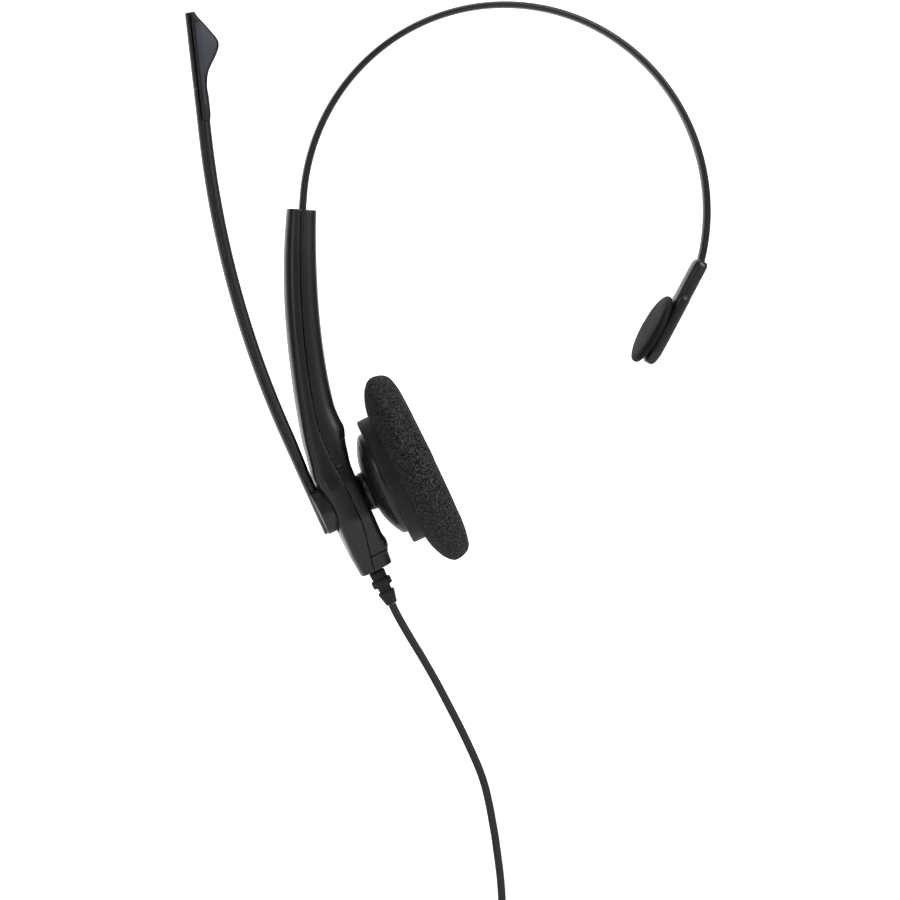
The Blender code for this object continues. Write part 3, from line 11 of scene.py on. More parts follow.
import bpy
import numpy as np
from mathutils import Matrix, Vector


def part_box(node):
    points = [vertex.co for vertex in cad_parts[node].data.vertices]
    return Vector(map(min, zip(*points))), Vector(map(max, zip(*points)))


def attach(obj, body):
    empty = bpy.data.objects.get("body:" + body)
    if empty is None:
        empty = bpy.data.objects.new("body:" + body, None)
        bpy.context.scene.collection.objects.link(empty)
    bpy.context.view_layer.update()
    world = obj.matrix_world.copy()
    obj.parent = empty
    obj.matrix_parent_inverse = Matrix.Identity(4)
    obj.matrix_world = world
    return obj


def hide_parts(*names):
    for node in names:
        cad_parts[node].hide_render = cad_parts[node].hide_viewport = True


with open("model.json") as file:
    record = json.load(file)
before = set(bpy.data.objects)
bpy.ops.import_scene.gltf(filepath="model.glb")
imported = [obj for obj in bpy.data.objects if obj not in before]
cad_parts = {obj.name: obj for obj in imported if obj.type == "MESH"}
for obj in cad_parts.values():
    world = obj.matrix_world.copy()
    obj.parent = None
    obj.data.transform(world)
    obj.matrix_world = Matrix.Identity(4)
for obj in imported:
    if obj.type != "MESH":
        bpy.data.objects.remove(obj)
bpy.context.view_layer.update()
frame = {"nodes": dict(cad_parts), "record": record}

MM = 0.001
DEG = math.pi / 180

# ---------------------------------------------------------------- shared dimensions

GAP = 0.3 * MM
BAND_RADIUS, BAND_THICK, BAND_WIDE = 61.7 * MM, 2.1 * MM, 5.0 * MM
BAND_END, ARM_JOIN = -14.2 * DEG, 175.0 * DEG
SLIDE_RADIUS, HIDDEN_SLIDE = 240.0 * MM, 50.0 * MM
CENTRE_Z = -(BAND_RADIUS - BAND_THICK / 2)
ARM_TOP_ANGLE, ARM_CURVED = -3.8 * DEG, 65.0 * MM
BEND_RADIUS, BEND_ANGLE = 60.0 * MM, 13.8 * DEG
HUB_BELOW_BEND, TAIL_BELOW_HUB = 9.0 * MM, 22.7 * MM
ARM_INNER, ARM_OUTER, HUB_SEAT, SEAT_RADIUS = 5.1 * MM, 6.2 * MM, 10.2 * MM, 7.8 * MM
ARM_WALL, SLIDE_GAP = 1.4 * MM, 0.4 * MM
COVER_JOINT, TAIL_CAP_AT = 70.0 * MM, 17.9 * MM
HOLDER_TILT = 28.4 * DEG
HOLDER_THICK, HOLDER_WIDE, HOLDER_OFFSET = 4.4 * MM, 8.8 * MM, 0.15 * MM
HOLDER_ABOVE_PAD, HOLDER_BELOW_PAD = 25.0 * MM, 9.6 * MM
PAD_RADIUS, PAD_RISE, PAD_BASE_RADIUS, PAD_CLEAR = 11.2 * MM, 3.1 * MM, 9.9 * MM, 0.8 * MM
BOOM_THICK, BOOM_WIDE, BOOM_COVER, BOOM_SWELL = 3.3 * MM, 5.4 * MM, 1.0 * MM, 0.45 * MM
BOOM_HUB_RADIUS, BOOM_HUB_FACE, PIVOT_RADIUS, PIVOT_BORE = 7.4 * MM, 4.4 * MM, 3.0 * MM, 1.2 * MM
BOOM_STANDOFF, BOOM_TAIL, BOOM_ROOT_RISE = 1.7 * MM, 6.6 * MM, 1.3 * DEG
BOOM_STRAIGHT, BOOM_ARC, BOOM_BEND, BOOM_TIP = 25.0 * MM, 92.0 * MM, 17.9 * DEG, 37.0 * MM
MIC_SEAM, MIC_LONG, MIC_WIDE, MIC_WALL = 22.5 * MM, 32.0 * MM, 6.8 * MM, 1.1 * MM
BALL_HEIGHT, CUP_DROP, CUP_TURN = 2.4 * MM, 0.5 * MM, 6.0 * DEG
CUP_RADIUS, CUP_RING_RADIUS, CUP_FLANGE_RADIUS = 16.2 * MM, 20.0 * MM, 24.0 * MM
CUSHION_RADIUS, CUSHION_FRONT = 30.2 * MM, 21.2 * MM
RELIEF_LINE = 6.1 * MM
CORD_RADIUS = 1.2 * MM
SMOOTH_BELOW, SMOOTH_BELOW_CUT = 42 * DEG, 40 * DEG  # edges flatter than this are shaded smooth


def polar(angle):
    """(cos a, sin a) for one angle or for an array of them."""
    return np.stack([np.cos(angle), np.sin(angle)], axis=-1)


SLIDE_CENTRE = np.array([0, CENTRE_Z]) + (BAND_RADIUS - SLIDE_RADIUS) * polar(ARM_JOIN)
BEND_START = ARM_TOP_ANGLE + ARM_CURVED / SLIDE_RADIUS
TILT = BEND_START + BEND_ANGLE
DOWN_ARM = np.array([math.sin(TILT), -math.cos(TILT)])
TO_EAR = np.array([math.cos(TILT), math.sin(TILT)])
BEND_LONG = BEND_RADIUS * BEND_ANGLE
HUB_AT = ARM_CURVED + BEND_LONG + HUB_BELOW_BEND
TAIL_AT = HUB_AT + TAIL_BELOW_HUB


def slide_line(distance):
    """Slide arc and its outward normal at distances s below the arm's top.

    The point is C - R (cos b, sin b) with b = b0 + s / R.
    """
    outward = -polar(ARM_TOP_ANGLE + np.asarray(distance) / SLIDE_RADIUS)
    return SLIDE_CENTRE + SLIDE_RADIUS * outward, outward


def arm_line(distance):
    """Arm's middle line: slide arc, then an arc of 60 mm radius, then straight; and its outward normal."""
    s = np.atleast_1d(np.asarray(distance, dtype=float))
    bend = np.clip(s - ARM_CURVED, 0, BEND_LONG)
    angle = ARM_TOP_ANGLE + np.minimum(s, ARM_CURVED) / SLIDE_RADIUS + bend / BEND_RADIUS
    outward = -polar(angle)
    on_slide = SLIDE_CENTRE + SLIDE_RADIUS * -polar(ARM_TOP_ANGLE + np.minimum(s, ARM_CURVED) / SLIDE_RADIUS)
    start = -polar(BEND_START)
    point = on_slide + np.where((s > ARM_CURVED)[:, None], BEND_RADIUS * (outward - start), 0)
    return point + np.maximum(s - ARM_CURVED - BEND_LONG, 0)[:, None] * DOWN_ARM, outward


class Place:
    """A local frame: an origin, +X and +Z directions, and +Y = Z x X."""

    def __init__(self, origin, x_axis, z_axis):
        self.origin, self.x, self.z = (np.asarray(v, dtype=float) for v in (origin, x_axis, z_axis))
        self.y = np.cross(self.z, self.x)

    def world(self, points):
        """O + x X + y Y + z Z for an array of local points."""
        points = np.asarray(points, dtype=float)
        return self.origin + points[..., 0:1] * self.x + points[..., 1:2] * self.y + points[..., 2:3] * self.z

    def at(self, x=0.0, z=0.0):
        """The same directions with the origin moved by local x and z."""
        return Place(self.world([x, 0, z]), self.x, self.z)

    def rolled(self, angle):
        """The same origin turned about its own X: Z becomes cos a Z - sin a Y."""
        return Place(self.origin, self.x, math.cos(angle) * self.z - math.sin(angle) * self.y)


def in_plane(pair):
    """(x, 0, z) for a pair (x, z)."""
    return np.array([pair[0], 0, pair[1]])


HUB = Place(in_plane(arm_line(HUB_AT)[0][0] + ARM_INNER * TO_EAR), in_plane(DOWN_ARM), in_plane(TO_EAR))
BOOM = HUB.at(z=-HUB_SEAT)
CUP = HUB.at(x=CUP_DROP, z=BALL_HEIGHT).rolled(CUP_TURN)
RELIEF = Place(HUB.world([0, 0, -RELIEF_LINE]), -HUB.z, HUB.x)
UP_HOLDER = np.array([math.sin(HOLDER_TILT), math.cos(HOLDER_TILT)])
TO_TEMPLE = np.array([-math.cos(HOLDER_TILT), math.sin(HOLDER_TILT)])
BAND_TIP = np.array([0, CENTRE_Z]) + BAND_RADIUS * polar(BAND_END)
PAD_POINT = BAND_TIP - HOLDER_ABOVE_PAD * UP_HOLDER + (HOLDER_THICK / 2 - HOLDER_OFFSET) * TO_TEMPLE
TEMPLE = Place(in_plane(PAD_POINT), in_plane(UP_HOLDER), in_plane(TO_TEMPLE))

# ---------------------------------------------------------------- surfaces


def add_mesh(name, points, quads, material, tris=()):
    """A closed mesh at the origin from an array of points and arrays of faces, shaded smooth.

    It is turned to face outwards where the sum of a . (b x c) over its triangles is negative.
    """
    mesh = bpy.data.meshes.new(name)
    faces = [tuple(int(i) for i in face) for face in quads] + [tuple(int(i) for i in face) for face in tris]
    mesh.from_pydata([tuple(p) for p in np.asarray(points)], [], faces)
    mesh.update()
    spots = np.empty(len(mesh.vertices) * 3)
    mesh.vertices.foreach_get("co", spots)
    spots = spots.reshape(-1, 3)
    mesh.calc_loop_triangles()
    corner = np.empty(len(mesh.loop_triangles) * 3, dtype=np.int32)
    mesh.loop_triangles.foreach_get("vertices", corner)
    a, b, c = (spots[corner.reshape(-1, 3)[:, k]] for k in range(3))
    volume = np.einsum("ij,ij->i", a, np.cross(b, c)).sum()
    if volume < 0:
        mesh.flip_normals()
    mesh.materials.append(material)
    mesh.shade_smooth()
    mesh.set_sharp_from_angle(angle=SMOOTH_BELOW)
    obj = bpy.data.objects.new(name, mesh)
    bpy.context.scene.collection.objects.link(obj)
    return obj


def grid_faces(rows, count, wrap_rows=False):
    """Quads over `rows` closed loops of `count` points, row after row."""
    row = np.arange(rows if wrap_rows else rows - 1)[:, None] * count
    up = (row + count) % (rows * count)
    i = np.arange(count)[None, :]
    j = (i + 1) % count
    return np.stack([row + i, row + j, up + j, up + i], axis=-1).reshape(-1, 4)


def loft(name, rings, material, wrap=False):
    """A body through an array of closed rings (rows, count, 3), with its two ends filled unless it wraps."""
    rings = np.asarray(rings)
    rows, count = rings.shape[:2]
    points = rings.reshape(-1, 3)
    quads = grid_faces(rows, count, wrap)
    if wrap:
        return add_mesh(name, points, quads, material)
    middles = np.stack([rings[0].mean(axis=0), rings[-1].mean(axis=0)])
    base, i = rows * count, np.arange(count)
    first = np.stack([np.full(count, base), (i + 1) % count, i], axis=-1)
    last_row = (rows - 1) * count
    last = np.stack([np.full(count, base + 1), last_row + i, last_row + (i + 1) % count], axis=-1)
    return add_mesh(name, np.concatenate([points, middles]), quads, material, np.concatenate([first, last]))


def fillet(outline, radius, steps=4, closed=True):
    """Round the corners of an outline: each corner becomes a quadratic arc P = (1-t)^2 A + 2t(1-t) B + t^2 C.

    A and C lie on the two sides at `radius` from the corner B, or at 0.45 of a shorter side. `radius` is one
    number or one for each corner.
    """
    points = np.asarray(outline, dtype=float)
    count = len(points)
    reach = np.broadcast_to(np.asarray(radius, dtype=float), (count,))
    rounded = []
    t = np.linspace(0, 1, steps + 1)[:, None]
    for i in range(count):
        corner = points[i]
        if reach[i] <= 0 or (not closed and i in (0, count - 1)):
            rounded.append(corner[None])
            continue
        before, after = points[i - 1] - corner, points[(i + 1) % count] - corner
        near, far = np.linalg.norm(before), np.linalg.norm(after)
        a = corner + before / near * min(reach[i], 0.45 * near)
        c = corner + after / far * min(reach[i], 0.45 * far)
        rounded.append((1 - t) ** 2 * a + 2 * t * (1 - t) * corner + t**2 * c)
    return np.concatenate(rounded)


def turned(name, outline, radius, place, material, segments=96, bored=False, steps=4, lift=None):
    """Turn a filleted outline of (radius, height) about a place's Z: (r cos a, r sin a, z)."""
    profile = fillet(outline, radius, steps, closed=bored)
    angles = np.arange(segments) * 2 * math.pi / segments
    r, z = profile[:, 0][:, None], profile[:, 1][:, None]
    rings = np.stack([r * np.cos(angles), r * np.sin(angles), z + 0 * angles], axis=-1)
    if lift is not None:
        rings = lift(rings)
    if bored:
        return loft(name, place.world(rings), material, wrap=True)
    return loft(name, place.world(rings[1:-1]), material)


def superellipse(wide, thick, count=40, power=3.0):
    """Rows of (across, along Y): (t/2 sgn c |c|^(2/p), w/2 sgn s |s|^(2/p))."""
    angles = (np.arange(count) + 0.5) * 2 * math.pi / count
    c, s = np.cos(angles), np.sin(angles)
    across = thick / 2 * np.sign(c) * np.abs(c) ** (2 / power)
    along = wide / 2 * np.sign(s) * np.abs(s) ** (2 / power)
    return np.stack([across, along], axis=-1)


def sweep(point, outward, section):
    """Carry sections (count, 2) or (rows, count, 2) along a line in XZ: P + a N, with b as Y."""
    section = np.broadcast_to(section, (len(point), *np.shape(section)[-2:]))
    across, along = section[..., 0], section[..., 1]
    x = point[:, 0:1] + outward[:, 0:1] * across
    z = point[:, 1:2] + outward[:, 1:2] * across
    return np.stack([x, along, z], axis=-1)


def smooth_steps(value, knots, levels):
    """Levels at knots joined by monotone cubics (Fritsch-Carlson tangents), evaluated at `value`."""
    knots, levels = np.asarray(knots, dtype=float), np.asarray(levels, dtype=float)
    h = np.diff(knots)
    slope = np.diff(levels) / h
    tangent = np.zeros_like(levels)
    same = slope[:-1] * slope[1:] > 0
    tangent[1:-1][same] = 2 / (1 / slope[:-1][same] + 1 / slope[1:][same])
    tangent[0], tangent[-1] = slope[0], slope[-1]
    v = np.clip(value, knots[0], knots[-1])
    i = np.clip(np.searchsorted(knots, v, side="right") - 1, 0, len(h) - 1)
    t = (v - knots[i]) / h[i]
    h00, h10 = 2 * t**3 - 3 * t**2 + 1, t**3 - 2 * t**2 + t
    h01, h11 = 3 * t**2 - 2 * t**3, t**3 - t**2
    return h00 * levels[i] + h10 * h[i] * tangent[i] + h01 * levels[i + 1] + h11 * h[i] * tangent[i + 1]


HASH_AXES = (73856093, 19349663, 83492791)
HASH_SEED, HASH_STEP, HASH_ADD, HASH_MIX = 2654435761, 1103515245, 12345, 668265263
HASH_BITS, VALUE_BITS = 0xFFFFFFFF, 0xFFFF


def lattice_noise(points, cell, seed):
    """Value noise in -1..1 from hashed values on a cubic lattice of side `cell`.

    Between the lattice points the values are blended by 3t^2 - 2t^3 along each axis.
    """
    p = np.asarray(points) / cell
    base = np.floor(p).astype(np.int64)
    t = p - base
    t = t * t * (3 - 2 * t)
    total = np.zeros(p.shape[:-1])
    for dx in (0, 1):
        for dy in (0, 1):
            for dz in (0, 1):
                x_key, y_key, z_key = ((base[..., k] + d) * HASH_AXES[k] for k, d in enumerate((dx, dy, dz)))
                key = (x_key ^ y_key ^ z_key ^ (seed * HASH_SEED)) & HASH_BITS
                key = (key * HASH_STEP + HASH_ADD) & HASH_BITS
                key = ((key >> 13) ^ key) * HASH_MIX & HASH_BITS
                value = (key & VALUE_BITS) / (VALUE_BITS / 2) - 1
                wx = t[..., 0] if dx else 1 - t[..., 0]
                wy = t[..., 1] if dy else 1 - t[..., 1]
                wz = t[..., 2] if dz else 1 - t[..., 2]
                total += value * wx * wy * wz
    return total


# ---------------------------------------------------------------- finishes


def new_material(name):
    """A material with a bare Principled shader: (material, nodes, links, shader)."""
    material = bpy.data.materials.new(name)
    material.use_nodes = True
    nodes, links = material.node_tree.nodes, material.node_tree.links
    return material, nodes, links, nodes["Principled BSDF"]


def add_noise(nodes, links, scale, detail=3.0, rough=0.5):
    """Noise texture on the object's own coordinates."""
    coordinates = nodes.new("ShaderNodeTexCoord")
    noise = nodes.new("ShaderNodeTexNoise")
    noise.inputs["Scale"].default_value = scale
    noise.inputs["Detail"].default_value = detail
    noise.inputs["Roughness"].default_value = rough
    links.new(coordinates.outputs["Object"], noise.inputs["Vector"])
    return noise


def map_range(nodes, links, source, low, high, start=0.0, end=1.0):
    """Linear map of a socket from start..end to low..high."""
    node = nodes.new("ShaderNodeMapRange")
    node.inputs["From Min"].default_value = start
    node.inputs["From Max"].default_value = end
    node.inputs["To Min"].default_value = low
    node.inputs["To Max"].default_value = high
    links.new(source, node.inputs["Value"])
    return node.outputs["Result"]


def mix_colours(nodes, links, factor, first, second):
    """Mix two colours by a socket."""
    node = nodes.new("ShaderNodeMix")
    node.data_type = "RGBA"
    node.inputs["A"].default_value = (*first, 1.0)
    node.inputs["B"].default_value = (*second, 1.0)
    links.new(factor, node.inputs["Factor"])
    return node.outputs["Result"]


def moulded(name, dark, light, roughness, grain=900.0, depth=0.02, specular=0.4, spread=0.06):
    """Moulded plastic or rubber: fine spark-eroded grain as bump, cloudy colour and roughness."""
    material, nodes, links, shader = new_material(name)
    cloud = add_noise(nodes, links, 45.0, 4.0)
    links.new(mix_colours(nodes, links, cloud.outputs["Fac"], dark, light), shader.inputs["Base Color"])
    links.new(
        map_range(nodes, links, cloud.outputs["Fac"], roughness - spread, roughness + spread, 0.3, 0.7),
        shader.inputs["Roughness"],
    )
    shader.inputs["Specular IOR Level"].default_value = specular
    fine = add_noise(nodes, links, grain, 2.0, 0.6)
    bump = nodes.new("ShaderNodeBump")
    bump.inputs["Strength"].default_value = 0.35
    bump.inputs["Distance"].default_value = depth * MM
    links.new(fine.outputs["Fac"], bump.inputs["Height"])
    links.new(bump.outputs["Normal"], shader.inputs["Normal"])
    return material


def metal(name, dark, light, roughness):
    """Bare metal with faint streaks."""
    material, nodes, links, shader = new_material(name)
    streak = add_noise(nodes, links, 300.0, 5.0, 0.7)
    links.new(mix_colours(nodes, links, streak.outputs["Fac"], dark, light), shader.inputs["Base Color"])
    links.new(
        map_range(nodes, links, streak.outputs["Fac"], roughness - 0.08, roughness + 0.08, 0.3, 0.7),
        shader.inputs["Roughness"],
    )
    shader.inputs["Metallic"].default_value = 1.0
    return material


def cellular(name, painted_pore_shade, strut, scale):
    """Open-cell foam: dark pores as painted shade in the cells, paler struts from Voronoi cells, and the
    pores sunk as bump.
    """
    material, nodes, links, shader = new_material(name)
    coordinates = nodes.new("ShaderNodeTexCoord")
    warp = add_noise(nodes, links, 1800.0, 2.0)
    push = nodes.new("ShaderNodeVectorMath")
    push.operation = "MULTIPLY_ADD"
    push.inputs[1].default_value = (0.0004, 0.0004, 0.0004)
    links.new(warp.outputs["Color"], push.inputs[0])
    links.new(coordinates.outputs["Object"], push.inputs[2])
    cells = nodes.new("ShaderNodeTexVoronoi")
    cells.feature = "DISTANCE_TO_EDGE"
    cells.inputs["Scale"].default_value = scale
    links.new(push.outputs["Vector"], cells.inputs["Vector"])
    wide = add_noise(nodes, links, 2300.0, 2.0, 0.65)
    ridge = map_range(nodes, links, cells.outputs["Distance"], 1.0, 0.0, 0.02, 0.30)
    speck = map_range(nodes, links, wide.outputs["Fac"], 0.0, 1.0, 0.42, 0.68)
    share = nodes.new("ShaderNodeMath")
    share.operation = "MULTIPLY"
    links.new(ridge, share.inputs[0])
    links.new(speck, share.inputs[1])
    links.new(mix_colours(nodes, links, share.outputs[0], painted_pore_shade, strut), shader.inputs["Base Color"])
    shader.inputs["Roughness"].default_value = 0.9
    shader.inputs["Specular IOR Level"].default_value = 0.15
    height = nodes.new("ShaderNodeMath")
    height.operation = "ADD"
    links.new(ridge, height.inputs[0])
    links.new(wide.outputs["Fac"], height.inputs[1])
    bump = nodes.new("ShaderNodeBump")
    bump.inputs["Strength"].default_value = 0.9
    bump.inputs["Distance"].default_value = 0.22 * MM
    links.new(height.outputs[0], bump.inputs["Height"])
    links.new(bump.outputs["Normal"], shader.inputs["Normal"])
    return material


FINISHES = {
    "matte_black": moulded(
        "moulded_black", (0.0070, 0.0073, 0.0088), (0.0105, 0.0109, 0.0128), 0.36, specular=0.5
    ),
    "soft_black": moulded(
        "soft_black_rubber", (0.010, 0.010, 0.0115), (0.015, 0.015, 0.017), 0.58, 700, 0.03, 0.32
    ),
    # the plates' grey is partly their own colour and partly painted sheen: it is lighter to stand in for
    # highlights on the fin's side facing the camera
    "mic_grey": moulded("mic_plate_grey_and_painted_sheen", (0.034, 0.037, 0.047), (0.050, 0.054, 0.066), 0.50, 1200, 0.03),
    "pad_grey": moulded("pad_skin", (0.007, 0.007, 0.008), (0.011, 0.011, 0.012), 0.62, 800, 0.04, 0.14),
    # the foam's near-black pore colour is painted shade in its open cells; the paler struts carry the foam's
    # tone
    "foam": cellular("charcoal_foam", (0.0050, 0.0052, 0.0060), (0.150, 0.153, 0.162), 2100.0),
    "cord_black": moulded("cord_jacket", (0.013, 0.014, 0.016), (0.019, 0.020, 0.023), 0.50, 500, 0.03, 0.35),
    "steel": metal("spring_steel", (0.36, 0.37, 0.38), (0.50, 0.50, 0.51), 0.32),
    "brass": metal("contact_brass", (0.62, 0.44, 0.18), (0.78, 0.60, 0.32), 0.30),
    "nylon": moulded("natural_nylon", (0.50, 0.48, 0.43), (0.60, 0.58, 0.53), 0.50, 400, 0.02),
    "board_green": moulded("board_laminate", (0.010, 0.090, 0.035), (0.018, 0.140, 0.055), 0.45, 300, 0.02),
    "film": moulded("speaker_film", (0.28, 0.27, 0.22), (0.42, 0.40, 0.34), 0.25, 200, 0.02),
    # the felt's pale tone is its own colour raised as painted light, to make up for the little light that
    # reaches it under the vents
    "felt": moulded("damping_felt_and_painted_light", (0.30, 0.30, 0.29), (0.45, 0.45, 0.43), 0.95, 1800, 0.10, 0.1),
}
SLOTS = {row["node"]: row["material_slot"] for row in frame["record"]["subparts"]}


def finish_frame():
    """Give every CAD node the procedural finish of its slot."""
    for name, node in frame["nodes"].items():
        node.data.materials.clear()
        node.data.materials.append(FINISHES[SLOTS[name]])


def body_of_node(node):
    """Name of the body that a CAD node belongs to."""
    return next(body for body, nodes in frame["record"]["behaviour"]["bodies"].items() if node in nodes)


def stand_for(obj, *nodes):
    """Hide the CAD nodes that a finished piece replaces, and attach it to the body of the first of them."""
    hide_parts(*nodes)
    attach(obj, body_of_node(nodes[0]))
    return obj


# ---------------------------------------------------------------- view and light

VIEW_TURN, VIEW_DROP, VIEW_DISTANCE = 10.14 * DEG, 3.0 * DEG, 1.1
VIEW_CENTRE = (-0.017448, -0.000685, -0.132126)
LENS = 146.67


def looking(right, up, ahead, place):
    """World matrix whose columns are right, up, minus ahead, and the place."""
    rows = [[*axis, where] for axis, where in zip(np.stack([right, up, -ahead], axis=1), place)]
    return Matrix([*rows, [0, 0, 0, 1]])


def add_camera():
    """Camera to the front and a little to the left of the object, looking slightly down."""
    right = np.array([math.cos(VIEW_TURN), -math.sin(VIEW_TURN), 0])
    ahead = np.array(
        [
            math.sin(VIEW_TURN) * math.cos(VIEW_DROP),
            math.cos(VIEW_TURN) * math.cos(VIEW_DROP),
            -math.sin(VIEW_DROP),
        ]
    )
    up = np.cross(right, ahead)
    data = bpy.data.cameras.new("camera")
    data.lens, data.sensor_width = LENS, 36.0
    data.clip_start, data.clip_end = 0.05, 60.0
    camera = bpy.data.objects.new("camera", data)
    bpy.context.scene.collection.objects.link(camera)
    camera.matrix_world = looking(right, up, ahead, np.array(VIEW_CENTRE) - VIEW_DISTANCE * ahead)
    bpy.context.scene.camera = camera


def add_softbox(name, place, aim, size, power):
    """Rectangular white light at a place, turned towards a point."""
    data = bpy.data.lights.new(name, "AREA")
    data.shape = "RECTANGLE"
    data.size, data.size_y = size
    data.energy = power
    light = bpy.data.objects.new(name, data)
    bpy.context.scene.collection.objects.link(light)
    place, aim = np.array(place, dtype=float), np.array(aim, dtype=float)
    ahead = (aim - place) / np.linalg.norm(aim - place)
    right = np.cross(ahead, [0, 0, 1.0])
    right /= np.linalg.norm(right)
    up = np.cross(right, ahead)
    light.matrix_world = looking(right, up, ahead, place)


FLOOR_Z, FLOOR_HALF_WIDE = -0.42, 5.0
FLOOR_FRONT, CURVE_FROM, WALL_TOP = -4.0, 3.0, 6.0  # the curve up to the wall has a radius of 1 m
LIGHT_AIM = (0, 0, -0.12)


def add_studio():
    """Pale floor that curves up into a bright backdrop, and soft lights on both sides and above."""
    scene = bpy.context.scene
    scene.view_settings.view_transform = "Standard"
    world = bpy.data.worlds.new("studio")
    world.use_nodes = True
    world.node_tree.nodes["Background"].inputs["Color"].default_value = (0.92, 0.94, 1.0, 1.0)
    world.node_tree.nodes["Background"].inputs["Strength"].default_value = 0.16
    scene.world = world
    arc = np.linspace(0, math.pi / 2, 13)
    curve = np.stack([CURVE_FROM + np.sin(arc), 1 - np.cos(arc)], axis=1)
    run = np.concatenate([[[FLOOR_FRONT, 0.0]], curve, [[CURVE_FROM + 1.0, WALL_TOP]]])
    points = np.array([(x, y, FLOOR_Z + z) for x in (-FLOOR_HALF_WIDE, FLOOR_HALF_WIDE) for y, z in run])
    count = len(run)
    quads = [(i, count + i, count + i + 1, i + 1) for i in range(count - 1)]
    material, nodes, links, shader = new_material("backdrop_paper")
    shader.inputs["Base Color"].default_value = (0.9, 0.9, 0.9, 1.0)
    shader.inputs["Roughness"].default_value = 0.9
    coordinates = nodes.new("ShaderNodeTexCoord")
    split = nodes.new("ShaderNodeSeparateXYZ")
    links.new(coordinates.outputs["Object"], split.inputs["Vector"])
    # the paper glows more from 0.2 to 1.4 m behind the object, and dims from 1 to 2 m to its left
    glow = map_range(nodes, links, split.outputs["Y"], 0.0, 1.0, 0.2, 1.4)
    across = map_range(nodes, links, split.outputs["X"], 0.12, 1.0, -2.0, -1.0)
    strength = nodes.new("ShaderNodeMath")
    strength.operation = "MULTIPLY"
    links.new(glow, strength.inputs[0])
    links.new(across, strength.inputs[1])
    shader.inputs["Emission Color"].default_value = (1.0, 1.0, 1.0, 1.0)
    links.new(strength.outputs[0], shader.inputs["Emission Strength"])
    mesh = bpy.data.meshes.new("backdrop")
    mesh.from_pydata([tuple(p) for p in points], [], quads)
    mesh.materials.append(material)
    mesh.shade_smooth()
    backdrop = bpy.data.objects.new("backdrop", mesh)
    scene.collection.objects.link(backdrop)
    add_softbox("key_light", (0.9, -1.2, 0.9), LIGHT_AIM, (0.5, 1.1), 22.0)
    add_softbox("left_light", (-1.2, -1.0, 0.4), LIGHT_AIM, (0.25, 1.2), 5.0)
    add_softbox("top_light", (0.0, 0.2, 1.6), (0, 0, -0.1), (1.2, 0.8), 9.0)


# ---------------------------------------------------------------- shared shapes


def modify(obj, kind, **settings):
    """Put a modifier on an object and apply it."""
    modifier = obj.modifiers.new(kind.lower(), kind)
    for key, value in settings.items():
        setattr(modifier, key, value)
    evaluated = obj.evaluated_get(bpy.context.evaluated_depsgraph_get())
    mesh = bpy.data.meshes.new_from_object(evaluated)
    obj.modifiers.clear()
    old, obj.data = obj.data, mesh
    bpy.data.meshes.remove(old)
    return obj


def bevel(obj, width, segments=2, angle=50 * DEG):
    """Round the sharp edges, then shade smooth up to the same angle."""
    modify(obj, "BEVEL", width=width, segments=segments, limit_method="ANGLE", angle_limit=angle)
    obj.data.shade_smooth()
    obj.data.set_sharp_from_angle(angle=SMOOTH_BELOW_CUT)
    return obj


def carve(obj, *cutters):
    """Cut bodies out of an object and remove them."""
    for cutter in cutters:
        modify(obj, "BOOLEAN", operation="DIFFERENCE", solver="EXACT", object=cutter)
        bpy.data.objects.remove(cutter)
    obj.data.set_sharp_from_angle(angle=SMOOTH_BELOW_CUT)
    return obj


def cylinder(place, outline, material, segments=64):
    """A stepped round cutting body about a place's Z, from its outline of (radius, height)."""
    return turned("cutter", outline, 0, place, material, segments)


def thick_sheet(name, outer, inner, material):
    """A wall between two open grids (rows, count, 3): both grids, and strips that join their four edges."""
    rows, count = outer.shape[:2]
    size = rows * count
    r, c = np.arange(rows - 1)[:, None] * count, np.arange(count - 1)[None, :]
    face = np.stack([r + c, r + c + 1, r + count + c + 1, r + count + c], axis=-1).reshape(-1, 4)
    edge_rows, edge_cols = np.arange(rows - 1) * count, np.arange(count - 1)
    strips = []
    for first, flip in ((edge_rows, True), (edge_rows + count - 1, False)):
        strip = np.stack([first, first + count, first + count + size, first + size], axis=-1)
        strips.append(strip[:, ::-1] if flip else strip)
    for first, flip in ((edge_cols, True), (edge_cols + (rows - 1) * count, False)):
        strip = np.stack([first, first + 1, first + 1 + size, first + size], axis=-1)
        strips.append(strip[:, ::-1] if not flip else strip)
    quads = np.concatenate([face[:, ::-1], face + size, *strips])
    return add_mesh(name, np.concatenate([outer.reshape(-1, 3), inner.reshape(-1, 3)]), quads, material)


# ---------------------------------------------------------------- headband and temple end


def band_line():
    """Band's middle line: up the slide arc from inside the arm, then round the head arc to the holder."""
    join_at = (ARM_JOIN - math.pi - ARM_TOP_ANGLE) * SLIDE_RADIUS
    inside, n1 = slide_line(np.linspace(HIDDEN_SLIDE - GAP, join_at, 60)[:-1])
    angles = np.linspace(ARM_JOIN, BAND_END, 200)
    head = np.array([0, CENTRE_Z]) + BAND_RADIUS * polar(angles)
    down = np.array([math.sin(BAND_END), -math.cos(BAND_END)])
    tip, n3 = head[-1] + 1.2 * MM * down, polar(BAND_END)
    return np.vstack([inside, head, tip]), np.vstack([n1, polar(angles), n3])


SLOT_WIDE, SLOT_THICK = 4.0 * MM, 1.1 * MM  # the spring's slot in the band skin
PAD_BASE_THICK, PAD_STEM_DEPTH = 0.5 * MM, 2.6 * MM


